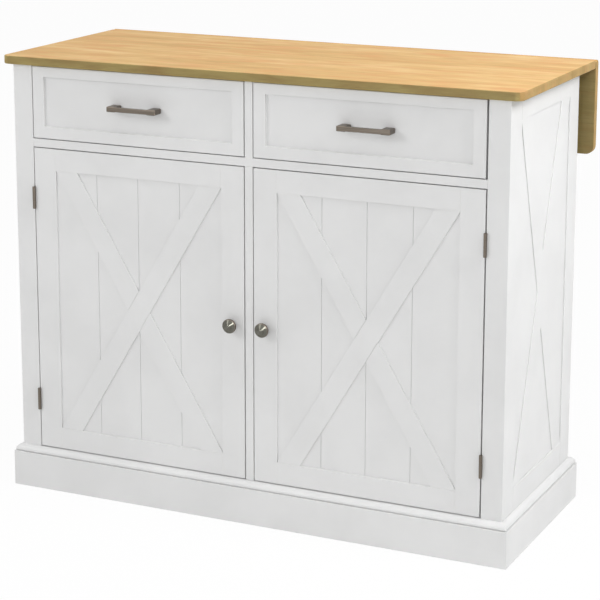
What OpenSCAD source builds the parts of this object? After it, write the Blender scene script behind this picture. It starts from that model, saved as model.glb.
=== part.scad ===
// Drop leaf kitchen island: a painted two-drawer, two-door cabinet on a plinth,
// with an oiled wood worktop and a leaf that hangs behind it and swings up.
// Millimetres. X runs along the island, Y from the front to the back, Z up.
// The origin is on the floor, in the middle of the closed island.

/* [Overall size] */
// Length of the worktop, end to end
worktop_length = 1114; // [1000:1:1300]
// Depth of the fixed worktop, front edge to rear edge
worktop_depth = 449; // [400:1:600]
// Height of the worktop's top face above the floor
height = 915; // [870:1:1000]

/* [Worktop and leaf] */
// Thickness of the worktop and of the leaf
top_t = 17; // [16:0.5:24]
// Radius of the worktop's front corners and the leaf's free corners
top_corner_r = 17; // [6:1:40]
// How far the worktop stands past each side of the cabinet
side_overhang = 23; // [10:1:60]
// How far the worktop stands past the front of the cabinet
front_overhang = 9; // [4:1:20]
// How far the worktop stands past the back of the cabinet
rear_overhang = 33; // [32:1:45]
// Length of the leaf from the hinge edge to the free edge
leaf_length = 192; // [170:1:320]
// Gap between the worktop's rear edge and the leaf
leaf_gap = 1; // [0.6:0.1:2]

/* [Cabinet] */
// Thickness of the front posts, shelves, decks and partitions
board_t = 17; // [15:0.5:20]
// Thickness of the side boards
side_t = 15; // [12:0.5:18]
// Thickness of the frame laid on each side board
overlay_t = 3; // [2:0.5:5]
// Width of the front posts, seen from the front
post_w = 43; // [38:1:60]
// Thickness of the back board
back_t = 5; // [4:0.5:9]
// Depth that the back board is set in from the rear edges
back_inset = 2; // [1:0.5:4]
// Height of the opening for the drawers
drawer_opening_h = 151; // [120:1:190]
// Gap round the doors and drawer fronts
reveal = 2; // [1.5:0.1:3]
// Width of the side frame's front stile, front post included
side_front_stile_w = 62; // [50:1:80]
// Width of the side frame's rear stile
side_rear_stile_w = 55; // [45:1:75]
// Height of the side frame's top rail
side_top_rail_h = 45; // [35:1:70]
// Height of the side frame's bottom rail that shows over the plinth
side_bottom_rail_h = 49; // [35:1:70]
// Width of the crossed braces, measured along the rails
brace_w = 50; // [35:1:70]
// How far the braces lie below the face of their frame
brace_step = 0.8; // [0.4:0.1:1.5]
// Height of the stretcher behind the top edge of the back
stretcher_h = 90; // [60:1:120]

/* [Plinth] */
// Height of the plinth
plinth_h = 88; // [70:1:110]
// Thickness of the plinth boards
plinth_t = 15; // [13:0.5:20]
// Radius of the round along the top of the plinth
bead_r = 11; // [6:0.5:12]
// Depth of the quirk under the round
quirk_depth = 3; // [2:0.5:4]
// Height of the quirk under the round
quirk_h = 2; // [1:0.5:3]

/* [Doors] */
// Thickness of the doors
door_t = 18; // [16:0.5:22]
// Width of the door stiles
stile_w = 50; // [40:1:70]
// Height of the door rails
rail_h = 45; // [38:1:70]
// Depth of the boarded panel below the face of the door
door_recess = 3.5; // [2:0.5:6]
// Thickness of the boarded panel
door_panel_t = 9; // [6:0.5:10]
// Depth of the grooves that hold the panel in the door frame
door_groove = 8; // [5:0.5:12]
// Number of boards across a door panel
door_boards = 4; // [2:1:6]
// Width of the V grooves between the boards
v_groove_w = 2.4; // [1:0.2:4]
// Width and depth of the fine line where a stile meets a rail
joint_line = 0.7; // [0.4:0.1:1.2]

/* [Door hinges and knobs] */
// Height of a butt hinge
hinge_h = 46; // [36:1:64]
// Radius of the hinge knuckle
knuckle_r = 3.3; // [2.5:0.1:4]
// Radius of the hinge pin
hinge_pin_r = 1.5; // [1:0.1:2]
// Radial running clearance of a pin in its knuckle
pin_fit = 0.06; // [0.02:0.01:0.1]
// Thickness of a hinge leaf
hinge_leaf_t = 1.4; // [1:0.1:2]
// Width of a hinge leaf, into the depth of the door
hinge_leaf_w = 15; // [10:0.5:16]
// Height of the lower hinges' middle over the door's bottom edge
hinge_low = 103; // [70:1:180]
// Drop of the upper hinges' middle below the door's top edge
hinge_high = 104; // [70:1:180]
// Gap between two knuckles of a hinge
knuckle_gap = 0.3; // [0.2:0.1:0.6]
// Radius of a door knob
knob_r = 14.5; // [10:0.5:18]
// How far a knob stands out from the door
knob_reach = 26; // [20:1:32]

/* [Drawers] */
// Thickness of the drawer fronts
drawer_front_t = 16; // [14:0.5:20]
// Depth of the sunk panel in a drawer front
drawer_recess = 4; // [2:0.5:5]
// Width of the border at the sides of a drawer front
drawer_border_side = 25.5; // [15:0.5:40]
// Width of the border at the bottom of a drawer front
drawer_border_bottom = 24; // [15:0.5:35]
// Width of the border at the top of a drawer front
drawer_border_top = 21; // [15:0.5:35]
// Thickness of the drawer box sides
box_t = 12; // [10:0.5:15]
// Height of the drawer box
box_h = 110; // [80:1:115]
// Height of the drawer box's lower edge over the front's lower edge
box_up = 8; // [4:1:14]
// Space left behind a closed drawer box
box_behind = 46; // [44:1:90]
// Thickness of the drawer bottom
box_bottom_t = 5; // [4:0.5:8]
// Height of a slide's middle over the drawer box's lower edge
slide_up = 36; // [24:1:60]
// Width of the space for one drawer slide
slide_w = 12.7; // [12:0.1:14]
// Height of the fixed slide rail
slide_h = 35; // [30:1:45]
// Sheet thickness of the slides
slide_sheet = 1.2; // [1:0.1:1.6]
// Running clearance between the two members of a slide
slide_fit = 0.4; // [0.3:0.05:0.6]
// Length of a pull
pull_l = 110; // [90:1:160]
// Height of a pull's bar
pull_h = 9; // [7:0.5:14]
// Thickness of a pull's bar
pull_t = 7; // [5:0.5:9]
// Width of the foot at each end of a pull
pull_foot_w = 20; // [14:1:30]
// How far a pull stands out past the front frame
pull_reach = 22; // [18:1:30]

/* [Leaf hinges and stays] */
// Distance of the outer leaf hinges from the ends of the leaf
leaf_hinge_inset = 117; // [60:1:200]
// Width of a leaf hinge arm at the pin
arm_w = 14; // [10:0.5:20]
// Thickness of a leaf hinge arm
arm_t = 3; // [2.5:0.5:4]
// Radius of a leaf hinge knuckle
arm_knuckle_r = 3.5; // [3:0.1:4]
// Side clearance between an arm and its cup
cup_fit = 0.4; // [0.3:0.1:0.8]
// Thickness of a cup's cheeks
cup_t = 1.8; // [1.5:0.1:2.5]
// Distance of the stays from the middle
stay_x = 300; // [150:1:380]
// Distance from the leaf's swing axis down to the stay pivot
stay_drop = 64; // [56:1:68]
// Length of a stay, pivot to foot
stay_length = 118; // [112:1:130]
// Distance of the stay pivot from the underside of the leaf
stay_pivot_out = 8; // [7:0.5:10]
// Distance of the stay's foot from the back of the cabinet
stay_foot_out = 7.5; // [7:0.5:10]
// Radius of the stay's foot pin
foot_pin_r = 2.5; // [2:0.1:3]
// Clearance of the foot pin in the slot of its channel
slot_fit = 0.5; // [0.3:0.1:1]

/* [Shelves] */
// Height of the shelves above the cabinet floor
shelf_height = 300; // [200:1:380]
// How far the shelves are set back behind the front
shelf_setback = 45; // [35:1:120]
// Radius of a shelf pin
shelf_pin_r = 2.5; // [2:0.5:3]
// Number of pin holes in a row
shelf_holes = 5; // [1:2:7]
// Distance between the holes in a row
shelf_hole_pitch = 32; // [20:1:40]

/* [Hidden] */
$fn = 48;

// Colours, as the object shows them
white_paint = "#dcdcdb";
oiled_wood = "#e8bd84";
raw_board = "#e6dccb";
dark_nickel = "#77716a";
zinc_steel = "#b9bbbd";
catch_white = "#e8e8e6";

// A cut that starts or ends this far outside what it cuts leaves no skin
over = 1;

// Cabinet
half_w = worktop_length / 2 - side_overhang;
top_z = height - top_t;
rear_edge = worktop_depth - front_overhang;
cabinet_depth = rear_edge - rear_overhang;
leaf_outer = rear_edge + leaf_gap + top_t;
front_y = -(leaf_outer - max(pull_reach, knob_reach)) / 2;
back_y = front_y + cabinet_depth;
inner_x = half_w - overlay_t - side_t;
opening_x = half_w - post_w;
back_face = back_y - back_inset;
inside_back = back_face - back_t;
mid_top = top_z - drawer_opening_h;
mid_low = mid_top - board_t;
post_back = front_y + board_t;

// Leaf: its swing axis is the middle of its round hinge edge
worktop_rear = front_y + rear_edge;
axis_y = worktop_rear + leaf_gap + top_t / 2;
axis_z = height - top_t / 2;

// Doors, drawer fronts and drawer boxes, given for the left half
door_x0 = -opening_x + reveal;
door_x1 = -board_t / 2 - reveal;
door_z0 = plinth_h + reveal;
door_z1 = mid_low - reveal;
drawer_z0 = mid_top + reveal;
drawer_z1 = top_z - reveal;
box_x0 = -opening_x + slide_w;
box_x1 = -board_t / 2 - slide_w;
box_l = cabinet_depth - drawer_front_t - box_behind;
box_y0 = front_y + drawer_front_t;
box_y1 = box_y0 + box_l;
box_z0 = drawer_z0 + box_up;
box_groove = 5;
box_bottom_up = 10;
bottom_z = box_z0 + box_bottom_up;
slide_z = box_z0 + slide_up;
slide_front = 4;
slide_rear = 8;
slide_rail_l = box_l + slide_rear;

// Butt hinges: the pin stands just in front of the gap beside the door
hinge_axis_x = -opening_x + reveal / 2;
hinge_axis_y = front_y - knuckle_r - 0.2;
hinge_z = [door_z0 + hinge_low, door_z1 - hinge_high];
hinge_line = 0.15;

// Stays: the foot's place when the leaf has swung up by an angle a
stay_b_y = -top_t / 2 - stay_pivot_out;
foot_y = back_y + stay_foot_out - axis_y;
stay_tilt_down = asin((stay_b_y - foot_y) / stay_length);
stay_tilt_up = asin((stay_drop - foot_y) / stay_length);
function stay_pivot(a) = [
    stay_b_y * cos(a) + stay_drop * sin(a),
    stay_b_y * sin(a) - stay_drop * cos(a)
];
function stay_tilt(a) = stay_tilt_down + (stay_tilt_up - stay_tilt_down) * a / 90;
function stay_foot(a) = stay_pivot(a) - stay_length * [sin(stay_tilt(a)), cos(stay_tilt(a))];

// A block between two corners
module block(low, high) {
    translate(low) cube(high - low);
}

// The left-hand shape, or its mirror image on the right
module on_side(right) {
    mirror([right ? 1 : 0, 0, 0]) children();
}

// A rod along X between two places on its axis
module rod_x(x0, x1, y, z, r) {
    translate([x0, y, z]) rotate([0, 90, 0]) cylinder(r = r, h = x1 - x0);
}

// A rod along Y between two places on its axis
module rod_y(x, y0, y1, z, r) {
    translate([x, y1, z]) rotate([90, 0, 0]) cylinder(r = r, h = y1 - y0);
}

// A flat shape in the Y-Z plane, given thickness along X
module slab_x(x0, x1) {
    translate([x0, 0, 0]) rotate([90, 0, 90]) linear_extrude(x1 - x0) children();
}

// A flat shape in the X-Z plane, given thickness along Y
module slab_y(y0, y1) {
    translate([0, y1, 0]) rotate([90, 0, 0]) linear_extrude(y1 - y0) children();
}

// A strip whose two long edges are straight and whose two ends are level
module leaning_strip(x_low, x_high, z_low, z_high, width) {
    polygon([[x_low, z_low], [x_low + width, z_low], [x_high + width, z_high], [x_high, z_high]]);
}

// Two crossed strips that fill a frame from corner to corner. The one that rises to
// the right runs through; the other is in two lengths that stop short of it by gap.
module crossed_strips(x0, x1, z0, z1, gap) {
    leaning_strip(x0, x1 - brace_w, z0, z1, brace_w);
    difference() {
        leaning_strip(x1 - brace_w, x0, z0, z1, brace_w);
        leaning_strip(x0 - gap, x1 - brace_w - gap, z0, z1, brace_w + 2 * gap);
    }
}

// ---------------------------------------------------------------- worktop

module worktop() {
    half = worktop_length / 2;
    y0 = front_y - front_overhang;
    color(oiled_wood)
        translate([0, 0, top_z])
            linear_extrude(top_t)
                union() {
                    translate([-half, y0 + top_corner_r])
                        square([2 * half, worktop_depth - top_corner_r]);
                    translate([-half + top_corner_r, y0])
                        square([2 * (half - top_corner_r), top_corner_r]);
                    for (side = [-1, 1])
                        translate([side * (half - top_corner_r), y0 + top_corner_r])
                            circle(r = top_corner_r, $fn = 64);
                }
}

// The leaf's outline along X: a slab with a full round along its hinge edge
module leaf_profile() {
    translate([axis_y, axis_z]) circle(r = top_t / 2);
    translate([axis_y - top_t / 2, height - leaf_length])
        square([top_t, leaf_length - top_t / 2]);
}

module leaf_outline() {
    half = worktop_length / 2;
    low = height - leaf_length;
    translate([-half, low + top_corner_r]) square([2 * half, leaf_length - top_corner_r]);
    translate([-half + top_corner_r, low])
        square([2 * (half - top_corner_r), top_corner_r]);
    for (side = [-1, 1])
        translate([side * (half - top_corner_r), low + top_corner_r])
            circle(r = top_corner_r, $fn = 64);
}

// Leaf hinge cup: half its width, and its reach from the swing axis
cup_half = arm_w / 2 + cup_fit + cup_t;
cup_deep = arm_knuckle_r + cup_fit + 1.2;
cup_up = arm_knuckle_r + 1.3;
cup_down = top_t / 2 + arm_t + 2.6;
cup_web_t = 1.2;
leaf_hinge_x = worktop_length / 2 - leaf_hinge_inset;
leaf_hinge_places = [-leaf_hinge_x, 0, leaf_hinge_x];

module drop_leaf() {
    half = worktop_length / 2;
    color(oiled_wood)
        difference() {
            intersection() {
                slab_x(-half, half) leaf_profile();
                slab_y(axis_y - top_t, axis_y + top_t) leaf_outline();
            }
            for (x = leaf_hinge_places)
                block([x - cup_half, axis_y - top_t, axis_z - cup_down],
                      [x + cup_half, axis_y + cup_deep, axis_z + cup_up]);
        }
}

// ------------------------------------------------- leaf hinges and stays

arm_low = 0.5;
arm_plate_w = 36;
arm_plate_l = 24;
arm_plate_inset = 4;
arm_screw_x = 11;
screw_r = 2;

// A plate under the worktop, a bar past its edge and a riser to the swing axis
module leaf_hinge_arm(x) {
    plate_y0 = worktop_rear - arm_plate_inset - arm_plate_l;
    bar_z = top_z - arm_low;
    difference() {
        union() {
            block([x - arm_plate_w / 2, plate_y0, top_z - arm_t],
                  [x + arm_plate_w / 2, plate_y0 + arm_plate_l, top_z]);
            slab_x(x - arm_w / 2, x + arm_w / 2)
                polygon([
                    [plate_y0 + arm_plate_l - over, top_z - arm_t],
                    [worktop_rear - arm_t, top_z - arm_t],
                    [worktop_rear, bar_z - arm_t],
                    [axis_y + arm_knuckle_r, bar_z - arm_t],
                    [axis_y + arm_knuckle_r, axis_z],
                    [axis_y - arm_knuckle_r, axis_z],
                    [axis_y - arm_knuckle_r, bar_z],
                    [worktop_rear, bar_z],
                    [worktop_rear - over, top_z],
                    [plate_y0 + arm_plate_l - over, top_z]
                ]);
            rod_x(x - arm_w / 2, x + arm_w / 2, axis_y, axis_z, arm_knuckle_r);
        }
        rod_x(x - arm_w, x + arm_w, axis_y, axis_z, hinge_pin_r + pin_fit);
        for (side = [-1, 1])
            translate([x + side * arm_screw_x, plate_y0 + arm_plate_l / 2, top_z - arm_t - over])
                cylinder(r = screw_r, h = arm_t + 2 * over);
    }
}

module leaf_hinge_arms() {
    color(zinc_steel) for (x = leaf_hinge_places) leaf_hinge_arm(x);
}

// Cheeks either side of the arm, a web behind it, and a flange on the leaf
module leaf_hinge_cup(x) {
    face_y = axis_y - top_t / 2;
    flange_half = 16;
    flange_l = 15;
    flange_screw_x = 10;
    difference() {
        union() {
            intersection() {
                slab_x(x - cup_half, x + cup_half) leaf_profile();
                block([x - cup_half, face_y, axis_z - cup_down],
                      [x + cup_half, axis_y + cup_deep, axis_z + cup_up]);
            }
            block([x - flange_half, face_y - cup_web_t, axis_z - cup_down - flange_l],
                  [x + flange_half, face_y, axis_z - cup_down + 0.4]);
        }
        block([x - cup_half + cup_t, face_y - top_t, axis_z - cup_down + cup_web_t],
              [x + cup_half - cup_t, axis_y + cup_deep - cup_web_t, axis_z + cup_up + over]);
        rod_x(x - arm_plate_w, x + arm_plate_w, axis_y, axis_z, hinge_pin_r);
        for (side = [-1, 1])
            rod_y(x + side * flange_screw_x, face_y - cup_web_t - over, face_y + over,
                  axis_z - cup_down - flange_l / 2, screw_r);
    }
}

module leaf_hinge_cups() {
    color(zinc_steel) for (x = leaf_hinge_places) leaf_hinge_cup(x);
}

stay_places = [-stay_x, stay_x];
stay_pin_y = axis_y + stay_b_y;
stay_pin_z = axis_z - stay_drop;

// Three pins in the leaf hinges and two in the stay shoes
module leaf_pins() {
    color(zinc_steel) {
        for (x = leaf_hinge_places) rod_x(x - cup_half, x + cup_half, axis_y, axis_z, hinge_pin_r);
        for (x = stay_places)
            rod_x(x - cup_half, x + cup_half, stay_pin_y, stay_pin_z, hinge_pin_r);
    }
}

shoe_t = 2;
shoe_ear_r = 5;
stay_sleeve_r = 4;
shoe_plate_l = 44;
shoe_screw_inset = 7;

// Two ears on a plate screwed to the underside of the leaf
module stay_shoe(x) {
    face_y = axis_y - top_t / 2;
    inner = arm_w / 2 + cup_fit;
    difference() {
        union() {
            block([x - cup_half, face_y - shoe_t, stay_pin_z - shoe_plate_l / 2],
                  [x + cup_half, face_y, stay_pin_z + shoe_plate_l / 2]);
            for (x0 = [x - cup_half, x + inner]) {
                rod_x(x0, x0 + cup_half - inner, stay_pin_y, stay_pin_z, shoe_ear_r);
                block([x0, stay_pin_y, stay_pin_z - shoe_ear_r],
                      [x0 + cup_half - inner, face_y, stay_pin_z + shoe_ear_r]);
            }
        }
        rod_x(x - arm_plate_w, x + arm_plate_w, stay_pin_y, stay_pin_z, hinge_pin_r);
        for (side = [-1, 1])
            rod_y(x, face_y - shoe_t - over, face_y + over,
                  stay_pin_z + side * (shoe_plate_l / 2 - shoe_screw_inset), screw_r);
    }
}

module stay_shoes() {
    color(zinc_steel) for (x = stay_places) stay_shoe(x);
}

stay_blade_t = 4;
stay_blade_w = 9;
stay_eye_r = 5.5;
stay_eye_t = 6;
channel_inner = arm_w / 2 + cup_fit;
channel_t = 2;
channel_margin = 5;
slot_r = foot_pin_r + slot_fit;
slot_step = 10;
slot_rest = 1;
slot_top = 0.2;
channel_screw_up = 12;

// A flat strut with an eye at each end, a sleeve for its pivot and a cross pin at its foot
module stay(x) {
    foot = stay_foot(0);
    difference() {
        union() {
            rod_x(x - arm_w / 2, x + arm_w / 2, stay_pin_y, stay_pin_z, stay_sleeve_r);
            translate([x - stay_blade_t / 2, stay_pin_y, stay_pin_z])
                rotate([-stay_tilt_down, 0, 0])
                    translate([0, -stay_blade_w / 2, -stay_length])
                        cube([stay_blade_t, stay_blade_w, stay_length]);
            rod_x(x - stay_eye_t / 2, x + stay_eye_t / 2, stay_pin_y, stay_pin_z, stay_eye_r);
            rod_x(x - stay_eye_t / 2, x + stay_eye_t / 2, axis_y + foot[0], axis_z + foot[1],
                  stay_eye_r);
            rod_x(x - channel_inner - channel_t - 1, x + channel_inner + channel_t + 1,
                  axis_y + foot[0], axis_z + foot[1], foot_pin_r);
        }
        rod_x(x - arm_w, x + arm_w, stay_pin_y, stay_pin_z, hinge_pin_r + pin_fit);
    }
}

module left_stay() {
    color(zinc_steel) stay(-stay_x);
}

module right_stay() {
    color(zinc_steel) stay(stay_x);
}

// One edge of the foot's slot: its way while the leaf swings up, moved sideways by shift
function slot_side(shift) = [
    for (a = [slot_step:slot_step:90])
        let (p = stay_foot(a), q = stay_foot(a + 1) - p, n = [q[1], -q[0]] / norm(q))
            [axis_y + p[0] + n[0] * shift, axis_z + p[1] + n[1] * shift]
];
function reversed(list) = [for (i = [len(list) - 1:-1:0]) list[i]];

// The slot with a round end at the top and a rest at the bottom
module foot_slot() {
    polygon(concat(slot_side(slot_r), reversed(slot_side(-slot_r))));
    translate([axis_y + stay_foot(0)[0], axis_z + stay_foot(0)[1]])
        circle(r = slot_r + slot_rest);
    translate([axis_y + stay_foot(90)[0], axis_z + stay_foot(90)[1]])
        circle(r = slot_r + slot_top);
}

// A channel on the back of the cabinet whose two sides guide the foot pin
module stay_channel(x) {
    low = axis_z + stay_foot(0)[1] - slot_r - channel_margin;
    high = axis_z + stay_foot(90)[1] + slot_r + channel_margin;
    outer_y = max([for (p = slot_side(slot_r)) p[0]]) + channel_margin;
    half = channel_inner + channel_t;
    difference() {
        union() {
            block([x - half, back_face, low], [x + half, back_face + channel_t, high]);
            for (x0 = [x - half, x + channel_inner])
                block([x0, back_face, low], [x0 + channel_t, outer_y, high]);
        }
        slab_x(x - half - over, x + half + over) foot_slot();
        for (z = [mid_low + board_t / 2, top_z - stretcher_h + channel_screw_up])
            rod_y(x, back_face - over, back_face + channel_t + over, z, screw_r);
    }
}

module stay_channels() {
    color(zinc_steel) for (x = stay_places) stay_channel(x);
}

bracket_l = 26;
bracket_w = 22;
bracket_t = 2;
bracket_screw_in = 15.6;
bracket_depths = [0.3, 0.75];

// A steel angle that holds the worktop down: one arm on the board, one under the top
module worktop_bracket(x, y) {
    difference() {
        union() {
            block([x, y - bracket_w / 2, top_z - bracket_l],
                  [x + bracket_t, y + bracket_w / 2, top_z]);
            block([x, y - bracket_w / 2, top_z - bracket_t],
                  [x + bracket_l, y + bracket_w / 2, top_z]);
        }
        rod_x(x - over, x + bracket_t + over, y, top_z - bracket_screw_in, screw_r);
        translate([x + bracket_screw_in, y, top_z - bracket_t - over])
            cylinder(r = screw_r, h = bracket_t + 2 * over);
    }
}

module worktop_brackets() {
    color(zinc_steel)
        for (depth = bracket_depths) {
            y = front_y + cabinet_depth * depth;
            for (right = [false, true]) {
                on_side(right) worktop_bracket(-inner_x, y);
                on_side(right) worktop_bracket(board_t / 2, y);
            }
        }
}

// ---------------------------------------------------------------- cabinet

shelf_z = plinth_h + shelf_height;
shelf_y0 = front_y + shelf_setback;
shelf_back_gap = 3;
shelf_y1 = inside_back - shelf_back_gap;
shelf_gap = 1;
pin_hole_depth = 8;
pin_out = 9;
pin_row_inset = 40;
pin_rows = [shelf_y0 + pin_row_inset, shelf_y1 - pin_row_inset];
pin_z = shelf_z - shelf_pin_r;

// Two upright rows of holes for the shelf pins, from x0 to x1
module pin_holes(x0, x1) {
    for (y = pin_rows)
        for (i = [0:shelf_holes - 1])
            rod_x(x0, x1, y, pin_z + (i - (shelf_holes - 1) / 2) * shelf_hole_pitch, shelf_pin_r);
}

module side_panel(right) {
    on_side(right)
        difference() {
            block([-half_w + overlay_t, post_back, 0], [-inner_x, back_y, top_z]);
            pin_holes(-inner_x - pin_hole_depth, -inner_x + over);
        }
}

module left_side_panel() {
    color(white_paint) side_panel(false);
}

module right_side_panel() {
    color(white_paint) side_panel(true);
}

side_open_y0 = front_y + side_front_stile_w;
side_open_y1 = back_y - side_rear_stile_w;
side_open_z0 = plinth_h + side_bottom_rail_h;
side_open_z1 = top_z - side_top_rail_h;

// Two stiles and two rails on the face of the side board, with their joints as fine lines
module side_frame(right) {
    on_side(right)
        difference() {
            block([-half_w, post_back, 0], [-half_w + overlay_t, back_y, top_z]);
            block([-half_w - over, side_open_y0, side_open_z0],
                  [-half_w + overlay_t + over, side_open_y1, side_open_z1]);
            for (y = [side_open_y0, side_open_y1])
                for (z = [[-over, side_open_z0], [side_open_z1, top_z + over]])
                    block([-half_w - over, y - joint_line / 2, z[0]],
                          [-half_w + joint_line, y + joint_line / 2, z[1]]);
        }
}

module left_side_frame() {
    color(white_paint) side_frame(false);
}

module right_side_frame() {
    color(white_paint) side_frame(true);
}

// Crossed strips inside the side frame, halved into each other
module side_brace(right) {
    on_side(right)
        slab_x(-half_w + brace_step, -half_w + overlay_t)
            crossed_strips(side_open_y0, side_open_y1, side_open_z0, side_open_z1, 0);
}

module left_side_brace() {
    color(white_paint) side_brace(false);
}

module right_side_brace() {
    color(white_paint) side_brace(true);
}

// Where a butt hinge leaf is let into the post or the door
module hinge_mortise(x0, x1, z, y1) {
    block([x0, front_y - over, z - hinge_h / 2], [x1, y1, z + hinge_h / 2]);
}

hinge_back_y = front_y + hinge_leaf_w;
frame_leaf_x = hinge_axis_x - hinge_line - hinge_leaf_t;
door_leaf_x = hinge_axis_x + hinge_line + hinge_leaf_t;

module front_post(right) {
    on_side(right)
        difference() {
            block([-half_w, front_y, 0], [-opening_x, post_back, top_z]);
            for (z = hinge_z) hinge_mortise(frame_leaf_x, -opening_x + over, z, hinge_back_y);
        }
}

module left_front_post() {
    color(white_paint) front_post(false);
}

module right_front_post() {
    color(white_paint) front_post(true);
}

// A level board that reaches the front between the posts and the side boards behind them
module deck(z0, z1) {
    block([-opening_x, front_y, z0], [opening_x, post_back + over, z1]);
    block([-inner_x, post_back, z0], [inner_x, inside_back, z1]);
}

module bottom_panel() {
    color(white_paint) deck(plinth_h - board_t, plinth_h);
}

module mid_panel() {
    color(white_paint) deck(mid_low, mid_top);
}

module lower_partition() {
    color(white_paint)
        difference() {
            block([-board_t / 2, front_y, plinth_h], [board_t / 2, inside_back, mid_low]);
            for (right = [false, true])
                on_side(right) pin_holes(-board_t / 2 - over, -board_t / 2 + pin_hole_depth);
        }
}

module upper_partition() {
    color(white_paint)
        block([-board_t / 2, front_y, mid_top], [board_t / 2, inside_back - board_t, top_z]);
}

module back_panel() {
    color(white_paint) block([-inner_x, inside_back, 0], [inner_x, back_face, top_z]);
}

module rear_stretcher() {
    color(white_paint)
        block([-inner_x, inside_back - board_t, top_z - stretcher_h],
              [inner_x, inside_back, top_z]);
}

// ----------------------------------------------------------------- plinth

bead_set_in = 2.5;
bead_face = plinth_t - bead_set_in;
bead_foot = 0.8;

// The plinth in section: its back on the cabinet at 0, a quirk and a quarter round on top
module plinth_section() {
    quirk_top = plinth_h - bead_r - bead_foot;
    polygon(concat(
        [[0, 0], [plinth_t, 0], [plinth_t, quirk_top - quirk_h],
         [bead_face - quirk_depth, quirk_top - quirk_h], [bead_face - quirk_depth, quirk_top],
         [bead_face, quirk_top]],
        [[bead_face, plinth_h - bead_r], [bead_face - bead_r, plinth_h]],
        [[0, plinth_h]]
    ));
    intersection() {
        translate([bead_face - bead_r, plinth_h - bead_r]) circle(r = bead_r, $fn = 64);
        translate([bead_face - bead_r, plinth_h - bead_r]) square(bead_r);
    }
}

// A plinth board along X with its outer face towards -Y, mitred at both ends
module plinth_board(half_l) {
    reach = half_l + plinth_t;
    difference() {
        translate([-reach, 0, 0])
            rotate([90, 0, 90])
                mirror([1, 0, 0])
                    linear_extrude(2 * reach) plinth_section();
        for (side = [0, 1])
            mirror([side, 0, 0])
                translate([half_l, 0, -over])
                    rotate([0, 0, 45])
                        translate([0, -4 * plinth_t, 0])
                            cube([4 * plinth_t, 8 * plinth_t, plinth_h + 2 * over]);
    }
}

module plinth_front() {
    color(white_paint) translate([0, front_y, 0]) plinth_board(half_w);
}

module plinth_back() {
    color(white_paint) translate([0, back_y, 0]) rotate([0, 0, 180]) plinth_board(half_w);
}

module plinth_left() {
    color(white_paint)
        translate([-half_w, front_y + cabinet_depth / 2, 0])
            rotate([0, 0, -90]) plinth_board(cabinet_depth / 2);
}

module plinth_right() {
    color(white_paint)
        translate([half_w, front_y + cabinet_depth / 2, 0])
            rotate([0, 0, 90]) plinth_board(cabinet_depth / 2);
}

// ---------------------------------------------------------------- shelves

module shelf(right) {
    on_side(right)
        block([-inner_x + shelf_gap, shelf_y0, shelf_z],
              [-board_t / 2 - shelf_gap, shelf_y1, shelf_z + board_t]);
}

module left_shelf() {
    color(white_paint) shelf(false);
}

module right_shelf() {
    color(white_paint) shelf(true);
}

// Four pins under each shelf
module shelf_pins() {
    color(zinc_steel)
        for (right = [false, true])
            on_side(right)
                for (y = pin_rows) {
                    rod_x(-inner_x - pin_hole_depth, -inner_x + pin_out, y, pin_z, shelf_pin_r);
                    rod_x(-board_t / 2 - pin_out, -board_t / 2 + pin_hole_depth, y, pin_z,
                          shelf_pin_r);
                }
}

// ---------------------------------------------------------------- drawers

block_margin = 8;
block_past_rail = 6;

// Blocks that bring the outer slides flush with the posts
module runner_blocks() {
    color(raw_board)
        for (right = [false, true])
            on_side(right)
                block([-inner_x, post_back, slide_z - slide_h / 2 - block_margin],
                      [-opening_x, box_y0 + slide_rail_l + block_past_rail,
                       slide_z + slide_h / 2 + block_margin]);
}

rail_y0 = front_y + drawer_front_t + slide_front;
lip_h = 5;
runner_h = slide_h / 2 - slide_sheet - slide_fit;
runner_in = 3;
rail_clear = 3;

// The fixed member in section: a web on the cabinet and two lips turned in at their edges
module slide_rail_section() {
    half = slide_h / 2;
    depth = slide_w - rail_clear;
    translate([0, -half]) square([slide_sheet, slide_h]);
    for (side = [0, 1])
        mirror([0, side]) {
            translate([0, half - slide_sheet]) square([depth, slide_sheet]);
            translate([depth - slide_sheet, half - lip_h]) square([slide_sheet, lip_h]);
        }
}

// The member on the drawer in section: a web on the box, flanges that run inside the lips
module runner_section() {
    inner = slide_h / 2 - lip_h - slide_fit;
    lip_x = slide_w - rail_clear - slide_sheet;
    translate([slide_w - slide_sheet, -inner]) square([slide_sheet, 2 * inner]);
    for (side = [0, 1])
        mirror([0, side]) {
            translate([runner_in, inner - slide_sheet])
                square([slide_w - runner_in, slide_sheet]);
            translate([runner_in, inner - slide_sheet])
                square([slide_sheet, runner_h - inner + slide_sheet]);
            translate([runner_in, runner_h - slide_sheet])
                square([lip_x - slide_fit - runner_in, slide_sheet]);
        }
}

// A section laid with its zero on a face at x, turned to the right (+1) or left (-1)
module slide_bar(x, turn, y0, y1) {
    translate([x, 0, slide_z])
        mirror([turn < 0 ? 1 : 0, 0, 0])
            slab_y(y0, y1) children();
}

module slide_rails() {
    color(zinc_steel)
        for (right = [false, true])
            on_side(right) {
                slide_bar(-opening_x, 1, rail_y0, rail_y0 + slide_rail_l) slide_rail_section();
                slide_bar(-board_t / 2, -1, rail_y0, rail_y0 + slide_rail_l)
                    slide_rail_section();
            }
}

module drawer_runners(right) {
    on_side(right) {
        slide_bar(-opening_x, 1, rail_y0, box_y1) runner_section();
        slide_bar(-board_t / 2, -1, rail_y0, box_y1) runner_section();
    }
}

// The space of the drawer bottom, its edges let into the box all round
module bottom_space(right) {
    on_side(right)
        block([box_x0 + box_t - box_groove, box_y0 - box_groove, bottom_z],
              [box_x1 - box_t + box_groove, box_y1 - box_t + box_groove,
               bottom_z + box_bottom_t]);
}

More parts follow.
